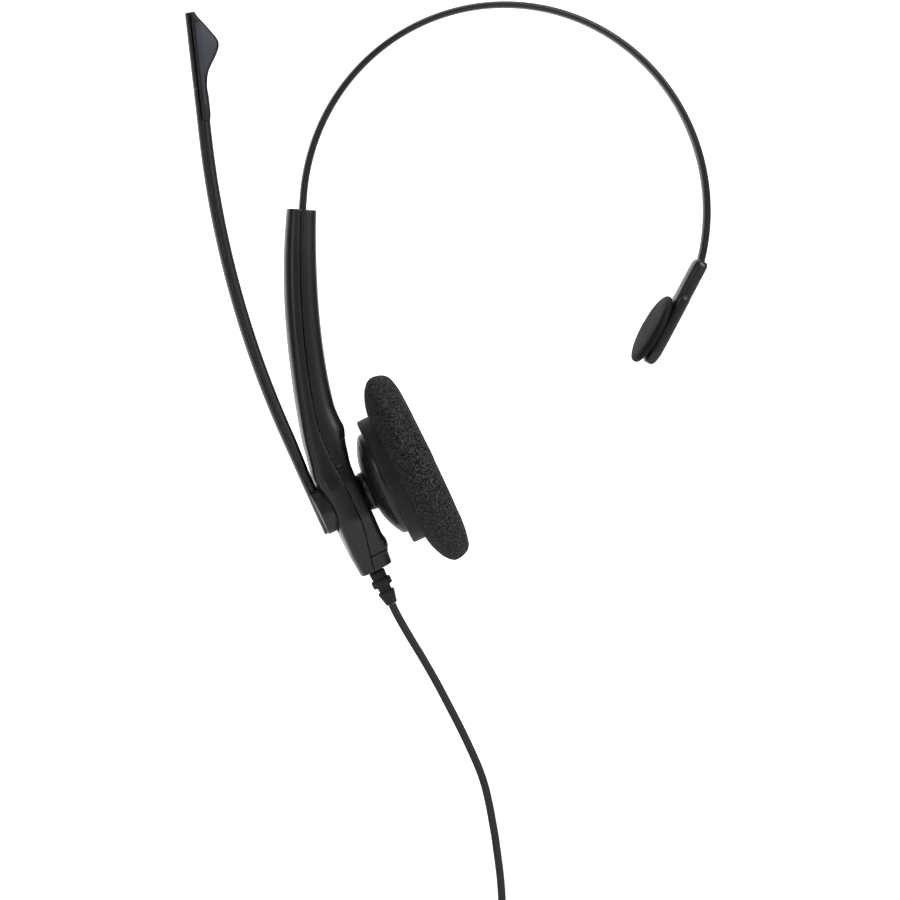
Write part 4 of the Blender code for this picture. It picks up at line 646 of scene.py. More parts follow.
def make_band_end():
    """Band skin round its spring, the holder bar with its wider plate, and the domed pad on its base."""
    black = FINISHES["matte_black"]
    point, outward = band_line()
    outer = sweep(point, outward, superellipse(BAND_WIDE, BAND_THICK, 48, 2.6))
    slot = sweep(point, outward, superellipse(SLOT_WIDE, SLOT_THICK, 48, 8.0))
    tube = np.concatenate([outer, slot[::-1]])
    stand_for(loft("band_skin", tube, black, wrap=True), "headband_sleeve")
    low, high = -HOLDER_BELOW_PAD, HOLDER_ABOVE_PAD + 0.2 * MM
    x = np.concatenate([np.linspace(low, low + 2.5 * MM, 14)[:-1], np.linspace(low + 2.5 * MM, high, 60)])
    plate_top = PAD_RADIUS + 2.2 * MM
    knots = [low, low + 0.5 * MM, low + 1.6 * MM, low + 4.0 * MM, 0, plate_top - 1.4 * MM, plate_top,
             high - 2.6 * MM, high - 1.0 * MM, high]
    wide = smooth_steps(x, knots, [0.42, 0.58, 0.78, 0.95, 1.0, 1.0, 0.94, 0.94, 0.91, 0.74]) * HOLDER_WIDE
    thick = smooth_steps(x, knots, [0.50, 0.68, 0.84, 0.96, 1.0, 1.0, 0.97, 0.97, 0.95, 0.74]) * HOLDER_THICK
    rings = []
    for at, w, t in zip(x, wide, thick):
        section = superellipse(w, t, 48, 3.4)
        rings.append(np.stack([np.full(48, at), section[:, 1], section[:, 0] - HOLDER_THICK / 2], axis=-1))
    stand_for(loft("holder_bar", TEMPLE.world(np.array(rings)), black), "temple_holder")
    top = PAD_CLEAR + PAD_BASE_THICK
    base = [(0, -PAD_STEM_DEPTH), (2.4 * MM, -PAD_STEM_DEPTH), (2.4 * MM, 0.4 * MM), (3.4 * MM, 0.4 * MM),
            (PAD_BASE_RADIUS, PAD_CLEAR), (PAD_BASE_RADIUS, top), (0, top)]
    stand_for(turned("pad_rocker", base, 0.15 * MM, TEMPLE, black), "temple_pad_base")
    skirt, lip = PAD_BASE_RADIUS + GAP, PAD_CLEAR + 0.05 * MM
    pad = [(0, top + GAP), (skirt, top + GAP), (skirt, lip), (PAD_RADIUS - 0.3 * MM, lip),
           (PAD_RADIUS, PAD_CLEAR + 0.5 * MM), (PAD_RADIUS - 0.1 * MM, PAD_RISE - 0.8 * MM),
           (PAD_RADIUS - 1.5 * MM, PAD_RISE - 0.2 * MM), (PAD_RADIUS - 5.5 * MM, PAD_RISE), (0, PAD_RISE)]
    radius = np.array([0, 0.1, 0.1, 0.2, 0.4, 0.9, 1.4, 2.5, 0]) * MM

    def soften(rings):
        """Slight unevenness of soft rubber: it sinks by up to 0.08 mm along -Z, more towards the rim."""
        grow = np.clip(np.hypot(rings[..., 0], rings[..., 1]) / PAD_RADIUS, 0, 1)
        rings[..., 2] -= 0.04 * MM * grow * (1 + lattice_noise(rings, 3.0 * MM, 5))
        return rings

    dome = turned("pad_dome", pad, radius, TEMPLE, FINISHES["pad_grey"], 128, steps=8, lift=soften)
    stand_for(dome, "temple_pad")


# ---------------------------------------------------------------- slider arm

# along the arm: distance, outer reach, inner reach, seam, width, squareness of the section
ARM_SECTIONS = np.array(
    [
        (0, 4.5 * MM, 4.0 * MM, 1.2 * MM, 10.4 * MM, 3.2),
        (0.26 * ARM_CURVED, 4.95 * MM, 4.6 * MM, 0.95 * MM, 11.0 * MM, 3.0),
        (0.5 * ARM_CURVED, 5.05 * MM, 4.95 * MM, 0.9 * MM, 11.6 * MM, 3.0),
        (0.67 * ARM_CURVED, 5.05 * MM, 5.25 * MM, 0.9 * MM, 12.0 * MM, 3.0),
        (0.9 * ARM_CURVED, 5.15 * MM, 5.85 * MM, 0.9 * MM, 12.9 * MM, 3.2),
        (ARM_CURVED - 1.6 * MM, 5.2 * MM, 6.7 * MM, 0.8 * MM, 13.3 * MM, 3.4),
        (ARM_CURVED + 1.5 * MM, 5.25 * MM, 7.45 * MM, 0.5 * MM, 13.6 * MM, 3.6),
        (HUB_AT - 16.7 * MM, 5.4 * MM, 6.6 * MM, -0.1 * MM, 14.2 * MM, 4.0),
        (HUB_AT - 13.9 * MM, 5.6 * MM, 6.2 * MM, -0.4 * MM, 14.5 * MM, 4.4),
        (HUB_AT - 9.4 * MM, ARM_OUTER, 5.4 * MM, -0.7 * MM, 15.2 * MM, 5.0),
        (HUB_AT - 5.0 * MM, ARM_OUTER, ARM_INNER, -0.75 * MM, 17.0 * MM, 5.0),
        (HUB_AT + 5.0 * MM, ARM_OUTER, ARM_INNER, -0.6 * MM, 17.0 * MM, 5.0),
        (HUB_AT + 9.4 * MM, ARM_OUTER, ARM_INNER, -0.3 * MM, 15.2 * MM, 4.8),
        (HUB_AT + 13.0 * MM, ARM_OUTER, ARM_INNER, 0.3 * MM, 13.6 * MM, 4.4),
        (HUB_AT + 15.7 * MM, ARM_OUTER, 5.6 * MM, 0.9 * MM, 12.4 * MM, 4.0),
        (HUB_AT + 17.6 * MM, 6.1 * MM, 5.4 * MM, 1.2 * MM, 11.6 * MM, 3.6),
        (HUB_AT + 18.8 * MM, 6.0 * MM, 4.7 * MM, 1.5 * MM, 11.0 * MM, 3.4),
        (TAIL_AT, 5.7 * MM, 4.3 * MM, 2.0 * MM, 9.6 * MM, 3.2),
    ]
)
TONGUE_LONG, TONGUE_FADE = 8.0 * MM, 14.0 * MM
SEAM_BEVEL = 0.16 * MM
HALF_COUNT = 37
END_ROWS = 8  # rows that close an end wall towards its hole


def arm_surface(distance, side, inset, shrink, target):
    """One half of the arm's surface over distances (rows, count): a superellipse from seam to reach.

    At angle a the offset is seam + (reach - seam) |sin a|^(2/p) and Y is w/2 sgn(cos a) |cos a|^(2/p).
    Rows with `shrink` above 0 close towards the target (reach, width), which makes an end wall with a hole.
    """
    values = [smooth_steps(distance, ARM_SECTIONS[:, 0], column) for column in ARM_SECTIONS[:, 1:].T]
    outer, inner, seam, wide, power = values
    angle = np.linspace(0, math.pi, HALF_COUNT)[None, :]
    c, s = np.cos(angle), np.sin(angle)
    seam = seam + (GAP / 2 if side == "outer" else -GAP / 2)
    reach = outer - inset if side == "outer" else -(inner - inset)
    wide = wide - 2 * inset
    reach = reach + shrink * (seam + target[0] - reach)
    wide = wide + shrink * (target[1] - wide)
    offset = seam + (reach - seam) * np.abs(s) ** (2 / power)
    y = wide / 2 * np.sign(c) * np.abs(c) ** (2 / power)
    flat, n = arm_line(distance.ravel())
    point, n = flat.reshape(*distance.shape, 2), n.reshape(*distance.shape, 2)
    return np.stack([point[..., 0] + n[..., 0] * offset, y, point[..., 1] + n[..., 1] * offset], axis=-1)


def tongue(side):
    """How far the slide cover reaches past its joint, round the half section: a smooth step 3t^2 - 2t^3."""
    if side == "outer":
        return np.zeros(HALF_COUNT)
    height = np.sin(np.linspace(0, math.pi, HALF_COUNT)) ** 0.62
    t = np.clip((0.62 - height) / 0.34, 0, 1)
    return TONGUE_LONG * t * t * (3 - 2 * t)


def arm_piece(name, start, end, side, mouth=None, tail=None, tongue_at=None):
    """A moulded half shell from one distance to another, with an end wall where a hole's size is given."""
    steps = round((end - start) / (0.8 * MM))
    walls = [start + (ARM_WALL if mouth else 0), end - (ARM_WALL if tail else 0)]
    share = np.linspace(0, 1, steps + 1)
    closing = np.linspace(1, 0, END_ROWS + 1)[:-1]
    outer_rows = start + share * (end - start)
    inner_rows = walls[0] + share * (walls[1] - walls[0])
    shrink = np.zeros_like(share)
    if mouth:
        outer_rows = np.concatenate([np.full(END_ROWS, start), outer_rows])
        inner_rows = np.concatenate([np.full(END_ROWS, walls[0]), inner_rows])
        shrink = np.concatenate([closing, shrink])
    if tail:
        outer_rows = np.concatenate([outer_rows, np.full(END_ROWS, end)])
        inner_rows = np.concatenate([inner_rows, np.full(END_ROWS, walls[1])])
        shrink = np.concatenate([shrink, closing[::-1]])
    first_half = (outer_rows < (start + end) / 2)[:, None]
    target_rows = np.where(first_half, np.array(mouth or (0, 0)), np.array(tail or (0, 0)))
    target = (target_rows[:, 0:1], target_rows[:, 1:2])
    shift = np.zeros((len(outer_rows), HALF_COUNT))
    if tongue_at is not None:
        away = np.abs(outer_rows - tongue_at)
        fade = np.clip(1 - away / TONGUE_FADE, 0, 1)[:, None]
        shift = fade * tongue(side)[None, :]
    surfaces = [
        arm_surface(rows[:, None] + shift, side, inset, shrink[:, None], target)
        for rows, inset in ((outer_rows, 0.0), (inner_rows, ARM_WALL))
    ]
    return bevel(thick_sheet(name, *surfaces, FINISHES["matte_black"]), SEAM_BEVEL)


SCREW_OUT = 10.5 * MM
STEM_HOLE = (2.3 * MM, 4.4 * MM)  # the strain relief's stem in the tail: reach, width


def make_arm():
    """Outer shell with the hub's sunk seat, slide cover, hub cover and tail cap."""
    black = FINISHES["matte_black"]
    half_mouth, mouth_wide = BAND_THICK / 2 + SLIDE_GAP, BAND_WIDE + 2 * SLIDE_GAP
    cap_at = HUB_AT + TAIL_CAP_AT
    mouth_outer = (0.3 * MM, mouth_wide)
    mouth_inner = (-(half_mouth + 1.05 * MM), mouth_wide)
    shell = arm_piece("arm_outer_half", 0, TAIL_AT, "outer", mouth_outer, (1.0 * MM, STEM_HOLE[1]))
    bush = PIVOT_RADIUS + 1.2 * MM
    seat_outline = [(0, -14 * MM), (SEAT_RADIUS, -14 * MM), (SEAT_RADIUS, -HUB_SEAT), (bush, -HUB_SEAT),
                    (bush, -8 * MM), (0, -8 * MM)]
    seat = cylinder(HUB, seat_outline, black, 96)
    stand_for(carve(shell, seat), "arm_outer_shell")
    slide = arm_piece("arm_slide_half", 0, COVER_JOINT, "inner", mouth_inner, tongue_at=COVER_JOINT)
    stand_for(slide, "arm_slide_cover")
    cover = arm_piece("arm_hub_half", COVER_JOINT + GAP, cap_at, "inner", tongue_at=COVER_JOINT + GAP)
    dish_outline = [(0, -3 * MM), (2.3 * MM, -3 * MM), (2.3 * MM, -0.6 * MM), (7.0 * MM, -0.6 * MM),
                    (7.0 * MM, 3 * MM), (0, 3 * MM)]
    dish = cylinder(HUB.at(x=CUP_DROP), dish_outline, black)
    screw_outline = [(0, -3 * MM), (1.1 * MM, -3 * MM), (1.1 * MM, -1.2 * MM), (1.9 * MM, -1.2 * MM),
                     (1.9 * MM, 4 * MM), (0, 4 * MM)]
    holes = [cylinder(HUB.at(x=side * SCREW_OUT), screw_outline, black, 32) for side in (-1, 1)]
    stand_for(carve(cover, dish, *holes), "arm_hub_cover")
    cap = arm_piece("arm_tail_half", cap_at + GAP, TAIL_AT, "inner", tail=(-STEM_HOLE[0], STEM_HOLE[1]))
    stand_for(cap, "arm_tail_cap")
    tail, wall = TAIL_BELOW_HUB, TAIL_BELOW_HUB - ARM_WALL - GAP
    ring, cone, tip = tail + 3.3 * MM, tail + 7.3 * MM, tail + 11.6 * MM
    outline = [(0, wall - MM), (2.1 * MM, wall - MM), (2.1 * MM, wall), (1.6 * MM, wall),
               (1.6 * MM, tail + 0.5 * MM), (2.5 * MM, tail + 0.9 * MM), (2.3 * MM, ring), (2.9 * MM, ring),
               (3.1 * MM, ring + 0.5 * MM), (3.0 * MM, ring + 2.2 * MM), (2.0 * MM, ring + 2.4 * MM),
               (1.9 * MM, cone), (2.5 * MM, cone), (2.6 * MM, cone + 0.5 * MM), (1.7 * MM, tip), (0, tip)]
    relief = turned("cord_relief", outline, 0.22 * MM, RELIEF, FINISHES["soft_black"], 64)
    stand_for(relief, "strain_relief")


# ---------------------------------------------------------------- boom and microphone

ROOT_Z = -(BOOM_STANDOFF + BOOM_THICK / 2)
BOOM_END = BOOM_STRAIGHT + BOOM_ARC + BOOM_TIP
COVER_FACE = BOOM_THICK / 2 - BOOM_COVER
BAR_FACE = COVER_FACE - GAP


def boom_line(reach):
    """Boom's middle line in the boom's frame, and its outward normal.

    It is straight, then an arc that turns by the bend, R (n - n0) with R = arc / bend, then straight again.
    """
    r = np.asarray(reach, dtype=float)
    part = np.clip((r - BOOM_STRAIGHT) / BOOM_ARC, 0, 1)
    rise = BOOM_ROOT_RISE + BOOM_BEND * part

    def axes(angle):
        c, s = np.cos(angle), np.sin(angle)
        return np.stack([-c, s], axis=-1), np.stack([-s, -c], axis=-1)

    way0, out0 = axes(np.full_like(r, BOOM_ROOT_RISE))
    way, out = axes(rise)
    point = np.array([0, ROOT_Z]) + np.minimum(r, BOOM_STRAIGHT)[:, None] * way0
    point = point + BOOM_ARC / BOOM_BEND * (out - out0)
    return point + np.maximum(r - BOOM_STRAIGHT - BOOM_ARC, 0)[:, None] * way, out


def mirrored(side):
    """A whole section from one side's points (offset, y), down one side and back up the other."""
    side = np.asarray(side, dtype=float)
    return np.concatenate([side, (side * [1, -1])[::-1]])


def boom_loft(name, reaches, sections, material, blunt=0.0):
    """Carry sections along the boom; `blunt` metres at the hub end are rounded in plan as a half disc.

    There the section's Y is scaled by sqrt(1 - q^2), with q the share of the way to the end, up to 0.94.
    """
    point, out = boom_line(reaches)
    sections = np.broadcast_to(sections, (len(reaches), *np.shape(sections)[-2:])).copy()
    if blunt:
        past = np.clip((reaches[0] + blunt - reaches) / blunt, 0, 0.94)
        sections[..., 1] *= np.sqrt(1 - past**2)[:, None]
    rings = sweep(point, out, sections)
    return loft(name, BOOM.world(rings), material)


def spaced(start, end, step=1.2 * MM, fine=0.0):
    """Distances at an even step, with closer ones over the first `fine` metres."""
    marks = np.linspace(start, end, round((end - start) / step) + 1)
    if fine:
        t = np.linspace(0, 1, 15)[:-1]
        marks = np.concatenate([start + fine * (1 - np.cos(t * math.pi / 2)), marks[marks >= start + fine]])
    return marks


def make_boom():
    """Bar with its lead channel, the long cover strip, and the hub with a slot for both."""
    black = FINISHES["matte_black"]
    channel, floor, half, low = 0.9 * MM, BAR_FACE - 0.9 * MM, BOOM_WIDE / 2, -BOOM_THICK / 2
    side = [(floor, channel), (BAR_FACE, channel), (BAR_FACE, half - 0.1 * MM), (floor, half),
            (low + 0.7 * MM, half - 0.25 * MM), (low, half - 1.3 * MM)]
    radius = np.array([0.05, 0.05, 0.15, 0.3, 0.5, 0.6]) * MM
    section = fillet(mirrored(side), np.concatenate([radius, radius[::-1]]), 4)
    reaches = spaced(-BOOM_TAIL, BOOM_END - MIC_LONG - 0.05 * MM, fine=2.6 * MM)
    swell = BOOM_SWELL * np.clip(reaches / (12 * MM) - 1, 0, 1)
    weight = np.clip((floor - section[:, 0]) / (0.6 * MM), 0, 1)
    sections = np.repeat(section[None], len(reaches), axis=0)
    sections[..., 0] -= swell[:, None] * weight
    stand_for(boom_loft("boom_beam", reaches, sections, black, 2.6 * MM), "boom_bar")
    top = BOOM_THICK / 2
    side = [(COVER_FACE, half - 0.1 * MM), (COVER_FACE + 0.45 * MM, half - 0.1 * MM),
            (top - 0.25 * MM, half - 0.7 * MM), (top, half - 1.7 * MM)]
    radius = np.array([0.08, 0.25, 0.3, 0.5]) * MM
    strip = fillet(mirrored(side), np.concatenate([radius, radius[::-1]]), 4)
    end = BOOM_END - MIC_SEAM
    reaches = spaced(-BOOM_TAIL, end - 0.15 * MM, fine=2.6 * MM)
    stand_for(boom_loft("boom_strip", reaches, strip, black, 2.6 * MM), "boom_cover")
    reaches = spaced(end, BOOM_END, 0.75 * MM)
    stand_for(bevel(boom_loft("mic_strip", reaches, strip, black), 0.12 * MM), "mic_cover")
    face, rim = -BOOM_HUB_FACE, BOOM_HUB_RADIUS
    hub = [(PIVOT_BORE, face), (rim, face), (rim, -GAP), (PIVOT_RADIUS, -GAP), (PIVOT_RADIUS, 2.7 * MM),
           (2.4 * MM, 2.7 * MM), (2.4 * MM, 3.8 * MM), (PIVOT_RADIUS, 3.8 * MM), (PIVOT_RADIUS, 4.7 * MM),
           (PIVOT_BORE, 4.7 * MM)]
    radius = np.array([0.1, 0.6, 0.2, 0.1, 0.05, 0.05, 0.05, 0.05, 0.15, 0.1]) * MM
    knob = turned("boom_knob", hub, radius, BOOM, black, 96, bored=True)
    slot_half, slot_floor = half + GAP, -BOOM_STANDOFF + GAP
    corners = [(x, y, z) for z in (-8 * MM, slot_floor) for x, y in
               ((-12 * MM, -slot_half), (12 * MM, -slot_half), (12 * MM, slot_half), (-12 * MM, slot_half))]
    slot = loft("cutter", BOOM.world(np.array(corners).reshape(2, 4, 3)), black)
    stand_for(carve(knob, slot), "boom_hub")


MIC_BACK = np.array([0, 1.3, 3.7, 6.1, 8.5, 9.8, 10.8, 13.2, 15.6, 17.9, 20.3, 22.7, 25.1, 29.8, 32.1]) * MM
MIC_DEEP = np.array([2.7, 3.4, 5.2, 6.9, 8.45, 8.8, 8.7, 7.6, 6.1, 4.8, 4.2, 3.95, 4.1, 4.1, 3.75]) * MM
MIC_PLATE_MARGIN, MIC_PLATE_THICK, MIC_PLATE_RECESS = 0.85 * MM, 0.4 * MM, 0.1 * MM
MIC_PLATE_FROM, MIC_PLATE_TO = 27.4 * MM, 3.1 * MM
MIC_PORT_AT, MIC_PORT_RADIUS = 10.0 * MM, 0.8 * MM


def mic_section(back, top, inset):
    """Section of the microphone shell: flat sides, rounded towards the fin's edge."""
    low = BOOM_THICK / 2 - float(smooth_steps(np.array([back]), MIC_BACK, MIC_DEEP)[0]) + inset
    half = MIC_WIDE / 2 - inset
    side = [(top, half), (low + 1.3 * MM, half), (low + 0.3 * MM, half - 0.5 * MM), (low, half - 1.8 * MM)]
    radius = np.array([0.15, 0.9, 0.5, 0.6]) * MM
    return fillet(mirrored(side), np.concatenate([radius, radius[::-1]]), 4)


def mic_body(name, start, end, inset, top):
    """The shell's outside, or its cavity when inset, between two distances back from the boom's end."""
    backs = np.linspace(start, end, round((start - end) / (0.6 * MM)) + 1)
    sections = np.array([mic_section(back, top, inset) for back in backs])
    return boom_loft(name, BOOM_END - backs, sections, FINISHES["soft_black"])


def mic_plate(name, side, margin, near, far, material):
    """A plate inlaid in the fin's flat side; it follows the shell's edges at a margin, with round corners."""
    backs = np.linspace(MIC_PLATE_FROM, MIC_PLATE_TO, 37)
    point, out = boom_line(BOOM_END - backs)
    high = point + (BAR_FACE - margin) * out
    low = point + (BOOM_THICK / 2 - smooth_steps(backs, MIC_BACK, MIC_DEEP) + margin)[:, None] * out
    radius = np.zeros(2 * len(backs))
    outline = np.concatenate([high, low[::-1]])
    radius[[0, len(backs) - 1, len(backs), -1]] = 0.25 * MM
    outline = fillet(outline, radius, 3)
    rings = np.stack([np.insert(outline, 1, side * y, axis=1) for y in (near, far)])
    return loft(name, BOOM.world(rings), material)


def make_microphone():
    """Fin-shaped shell, hollow under its strip, with a plate inlaid on each side and a port at its edge."""
    shell = mic_body("mic_fin", MIC_LONG, 0, 0.0, BAR_FACE)
    cavity = mic_body("cutter", MIC_LONG - 2 * MM, MIC_WALL, MIC_WALL, BOOM_THICK)
    face = MIC_WIDE / 2
    rubber = FINISHES["soft_black"]
    outer, inner = face - MIC_PLATE_RECESS, face - MIC_PLATE_RECESS - MIC_PLATE_THICK
    pockets = [
        mic_plate("cutter", side, MIC_PLATE_MARGIN - 0.2 * MM, inner - 0.1 * MM, face + MM, rubber)
        for side in (-1, 1)
    ]
    point, out = boom_line(np.array([BOOM_END - MIC_PORT_AT]))
    inward = -(out[0, 0] * BOOM.x + out[0, 1] * BOOM.z)
    port = Place(BOOM.world([point[0, 0], 0, point[0, 1]]), BOOM.y, inward)
    start, end = 4.5 * MM, 12.0 * MM
    port_outline = [(0, start), (MIC_PORT_RADIUS, start), (MIC_PORT_RADIUS, end), (0, end)]
    hole = cylinder(port, port_outline, rubber, 32)
    stand_for(carve(shell, cavity, *pockets, hole), "mic_shell")
    for name, side in (("mic_plate_front", -1), ("mic_plate_back", 1)):
        # the plates take the mic_grey finish, whose lighter grey is partly painted sheen
        plate = mic_plate(f"{name}_face", side, MIC_PLATE_MARGIN, inner, outer, FINISHES["mic_grey"])
        stand_for(bevel(plate, 0.1 * MM), name)


# ---------------------------------------------------------------- ear cup


SOCKET_RADIUS, SOCKET_MOUTH, COLLAR_RADIUS = 4.6 * MM, 1.95 * MM, 6.0 * MM
VENT_COUNT, VENT_CIRCLE, VENT_RADIUS, VENT_DEEP = 24, 14.3 * MM, 0.6 * MM, 4.8 * MM


def make_cup():
    """Back cover with its ring of vents, speaker ring, and the foam disc over the ring's flange."""
    black, rubber = FINISHES["matte_black"], FINISHES["soft_black"]
    rim, skin, bore, socket, collar = CUP_RADIUS, 1.2 * MM, 1.2 * MM, SOCKET_RADIUS, COLLAR_RADIUS
    top, mouth = math.asin(math.sqrt(socket**2 - bore**2) / socket), math.asin(-SOCKET_MOUTH / socket)
    ball = [(socket * math.cos(a), socket * math.sin(a)) for a in np.linspace(top, mouth, 16)]
    skirt = [(collar - 0.35 * MM, -SOCKET_MOUTH), (collar, -0.9 * MM), (collar, 0.1 * MM),
             (8.5 * MM, 0.4 * MM), (12.2 * MM, 1.6 * MM), (rim, 3.8 * MM), (rim, 6.0 * MM),
             (rim - skin, 6.0 * MM), (rim - skin, 4.5 * MM), (11.7 * MM, 2.9 * MM), (8.2 * MM, 1.7 * MM),
             (collar + 0.2 * MM, 1.6 * MM), (collar + 0.2 * MM, 5.6 * MM), (bore, 5.6 * MM)]
    skirt_radius = np.array([0.2, 0.5, 0.6, 1.2, 2.2, 1.0, 0.3, 0.2, 0.3, 1, 1, 0.2, 0.2, 0.1]) * MM
    radius = np.concatenate([np.zeros(len(ball)), skirt_radius])
    cover = turned("cup_shell", ball + skirt, radius, CUP, black, 120, bored=True)
    vent_outline = [(0, 0), (VENT_RADIUS, 0), (VENT_RADIUS, VENT_DEEP), (0, VENT_DEEP)]
    vents = []
    for a in 2 * math.pi * (np.arange(VENT_COUNT) + 0.5) / VENT_COUNT:
        centre = CUP.world([VENT_CIRCLE * math.cos(a), VENT_CIRCLE * math.sin(a), 0])
        vents.append(cylinder(Place(centre, CUP.x, CUP.z), vent_outline, black, 16))
    for vent in vents[1:]:
        join_mesh(vents[0], vent)
    stand_for(carve(cover, vents[0]), "cup_back_cover")
    seat, outer, flange, bed = rim + GAP, CUP_RING_RADIUS, CUP_FLANGE_RADIUS, 17.5 * MM
    ledge = rim - skin - 0.4 * MM
    ring = [(seat, 5.2 * MM), (outer, 5.2 * MM), (outer, 10.5 * MM), (flange, 10.5 * MM), (flange, 11.7 * MM),
            (bed, 11.7 * MM), (bed, 7.5 * MM), (ledge, 7.5 * MM), (ledge, 6.3 * MM), (seat, 6.3 * MM)]
    radius = np.array([0.2, 0.9, 0.1, 0.2, 0.2, 0.2, 0.1, 0.2, 0.2, 0.1]) * MM
    stand_for(turned("speaker_ring", ring, radius, CUP, rubber, 120, bored=True), "cup_ring")
    make_foam()


def join_mesh(target, other):
    """Add another object's faces to a mesh and remove that object."""
    first, second = target.data, other.data
    points = [tuple(v.co) for mesh in (first, second) for v in mesh.vertices]
    base = len(first.vertices)
    faces = [tuple(p.vertices) for p in first.polygons]
    faces += [tuple(base + i for i in p.vertices) for p in second.polygons]
    mesh = bpy.data.meshes.new("joined")
    mesh.from_pydata(points, [], faces)
    mesh.materials.append(first.materials[0])
    target.data = mesh
    bpy.data.objects.remove(other)


FOAM_ROWS, FOAM_COLUMNS = 236, 410
FOAM_BED = 12.2 * MM


def make_foam():
    """Foam disc: a turned form on a fine grid, whose skin is broken up by open cells and a little slack.

    Each point moves along its normal N by a depth d that is a sum of lattice noises: cells of 0.42 and
    0.9 mm, and slack of 6 mm. On average the skin lies 0.18 mm inside the outline. The pocket for the
    ring's flange stays as it is.
    """
    front, radius = CUSHION_FRONT, CUSHION_RADIUS
    lip, pocket = CUP_RING_RADIUS + GAP, CUP_FLANGE_RADIUS + GAP
    outline = [(0, FOAM_BED), (pocket, FOAM_BED), (pocket, 10.2 * MM), (lip, 10.2 * MM), (lip, 9.1 * MM),
               (23.0 * MM, 9.6 * MM), (radius - 3.0 * MM, 11.0 * MM), (radius, 13.6 * MM),
               (radius, 16.6 * MM), (radius - 1.6 * MM, front - 1.2 * MM), (radius - 6.5 * MM, front),
               (0, front)]
    corner = np.array([0, 0.2, 0.2, 0.2, 0.4, 1.5, 3.0, 2.6, 3.0, 3.4, 4.0, 0]) * MM
    profile = fillet(outline, corner, 12, closed=False)
    reach = np.concatenate([[0], np.cumsum(np.linalg.norm(np.diff(profile, axis=0), axis=1))])
    marks = np.linspace(0, reach[-1], FOAM_ROWS)
    profile = np.stack([np.interp(marks, reach, profile[:, k]) for k in (0, 1)], axis=1)
    angles = np.arange(FOAM_COLUMNS) * 2 * math.pi / FOAM_COLUMNS
    tangent = np.gradient(profile, axis=0)
    normal = np.stack([tangent[:, 1], -tangent[:, 0]], axis=1)
    normal /= np.linalg.norm(normal, axis=1)[:, None]
    inside = (profile[:, 1] < 12.3 * MM) & (profile[:, 0] < pocket + 0.05 * MM)
    show = np.where(inside, 0.0, 1.0)
    show = np.convolve(np.pad(show, 4, mode="edge"), np.ones(9) / 9, "valid")
    r, z = profile[:, 0][:, None], profile[:, 1][:, None]
    rings = np.stack([r * np.cos(angles), r * np.sin(angles), z + 0 * angles], axis=-1)
    cells = 0.09 * lattice_noise(rings, 0.42 * MM, 11) + 0.03 * lattice_noise(rings, 0.9 * MM, 12)
    slack = 0.14 * lattice_noise(rings, 6.0 * MM, 13)
    depth = (cells - 0.10 + slack - 0.08) * MM * show[:, None]
    rings[..., 0] += depth * normal[:, 0:1] * np.cos(angles)
    rings[..., 1] += depth * normal[:, 0:1] * np.sin(angles)
    rings[..., 2] += depth * normal[:, 1:2]
    foam = loft("foam_disc", CUP.world(rings[1:-1]), FINISHES["foam"])
    foam.data.shade_smooth()
    stand_for(foam, "ear_cushion")


# ---------------------------------------------------------------- lead

# the lead's route from the strain relief to the hank, in millimetres, as in the part
CORD_ROUTE = [
    (-34.94, 0, -178.4),
    (-33.4, 0, -181.6),
    (-29.8, 0, -187.9),
    (-25.4, 0, -195.2),
    (-21.3, 0, -202.4),
    (-17.5, 0, -209.6),
    (-13.7, 0, -217.0),
    (-10.4, 0, -224.0),
    (-8.1, 0, -229.4),
    (-6.5, 0, -234.3),
    (-5.3, 0, -239.4),
    (-4.4, 0, -244.2),
    (-3.5, 0, -249.3),
    (-2.8, 0, -254.3),
    (-2.1, 0, -259.5),
    (-1.6, 0, -264.5),
    (-1.3, 0, -269.5),
    (-1.2, 0, -274.5),
    (-1.2, 0, -279.0),
]
HANK_RUN, HANK_RADIUS, STRAND = 40.0, 7.2, 2.4
HANK_LEG_X, HANK_TOP, PLUG_TOP = -1.2, -279.0, -351.65
# cells of the bundle's section that the turns fill in order: (radial step, step along Y)
HANK_CELLS = [(0, 0), (-1, 0), (-1, -1), (0, -1), (1, -1), (1, 0), (1, 1)]


def smooth_route(route, spacing):
    """Points at an even spacing along the Catmull-Rom curve through a route's points."""
    knots = np.array(route, dtype=float)
    padded = np.vstack([2 * knots[0] - knots[1], knots, 2 * knots[-1] - knots[-2]])
    t = np.linspace(0, 1, 20, endpoint=False)[:, None]
    pieces = []
    for a, b, c, d in zip(padded, padded[1:], padded[2:], padded[3:]):
        square, cube = 2 * a - 5 * b + 4 * c - d, 3 * b - a - 3 * c + d
        pieces.append(0.5 * (2 * b + (c - a) * t + square * t**2 + cube * t**3))
    line = np.vstack([*pieces, knots[-1:]])
    return even_spacing(line, spacing)


def even_spacing(line, spacing):
    """The same line with points at an even spacing."""
    reach = np.concatenate([[0], np.cumsum(np.linalg.norm(np.diff(line, axis=0), axis=1))])
    count = round(reach[-1] / spacing) + 1
    marks = np.linspace(0, reach[-1], count)
    return np.stack([np.interp(marks, reach, line[:, axis]) for axis in range(3)], axis=1)


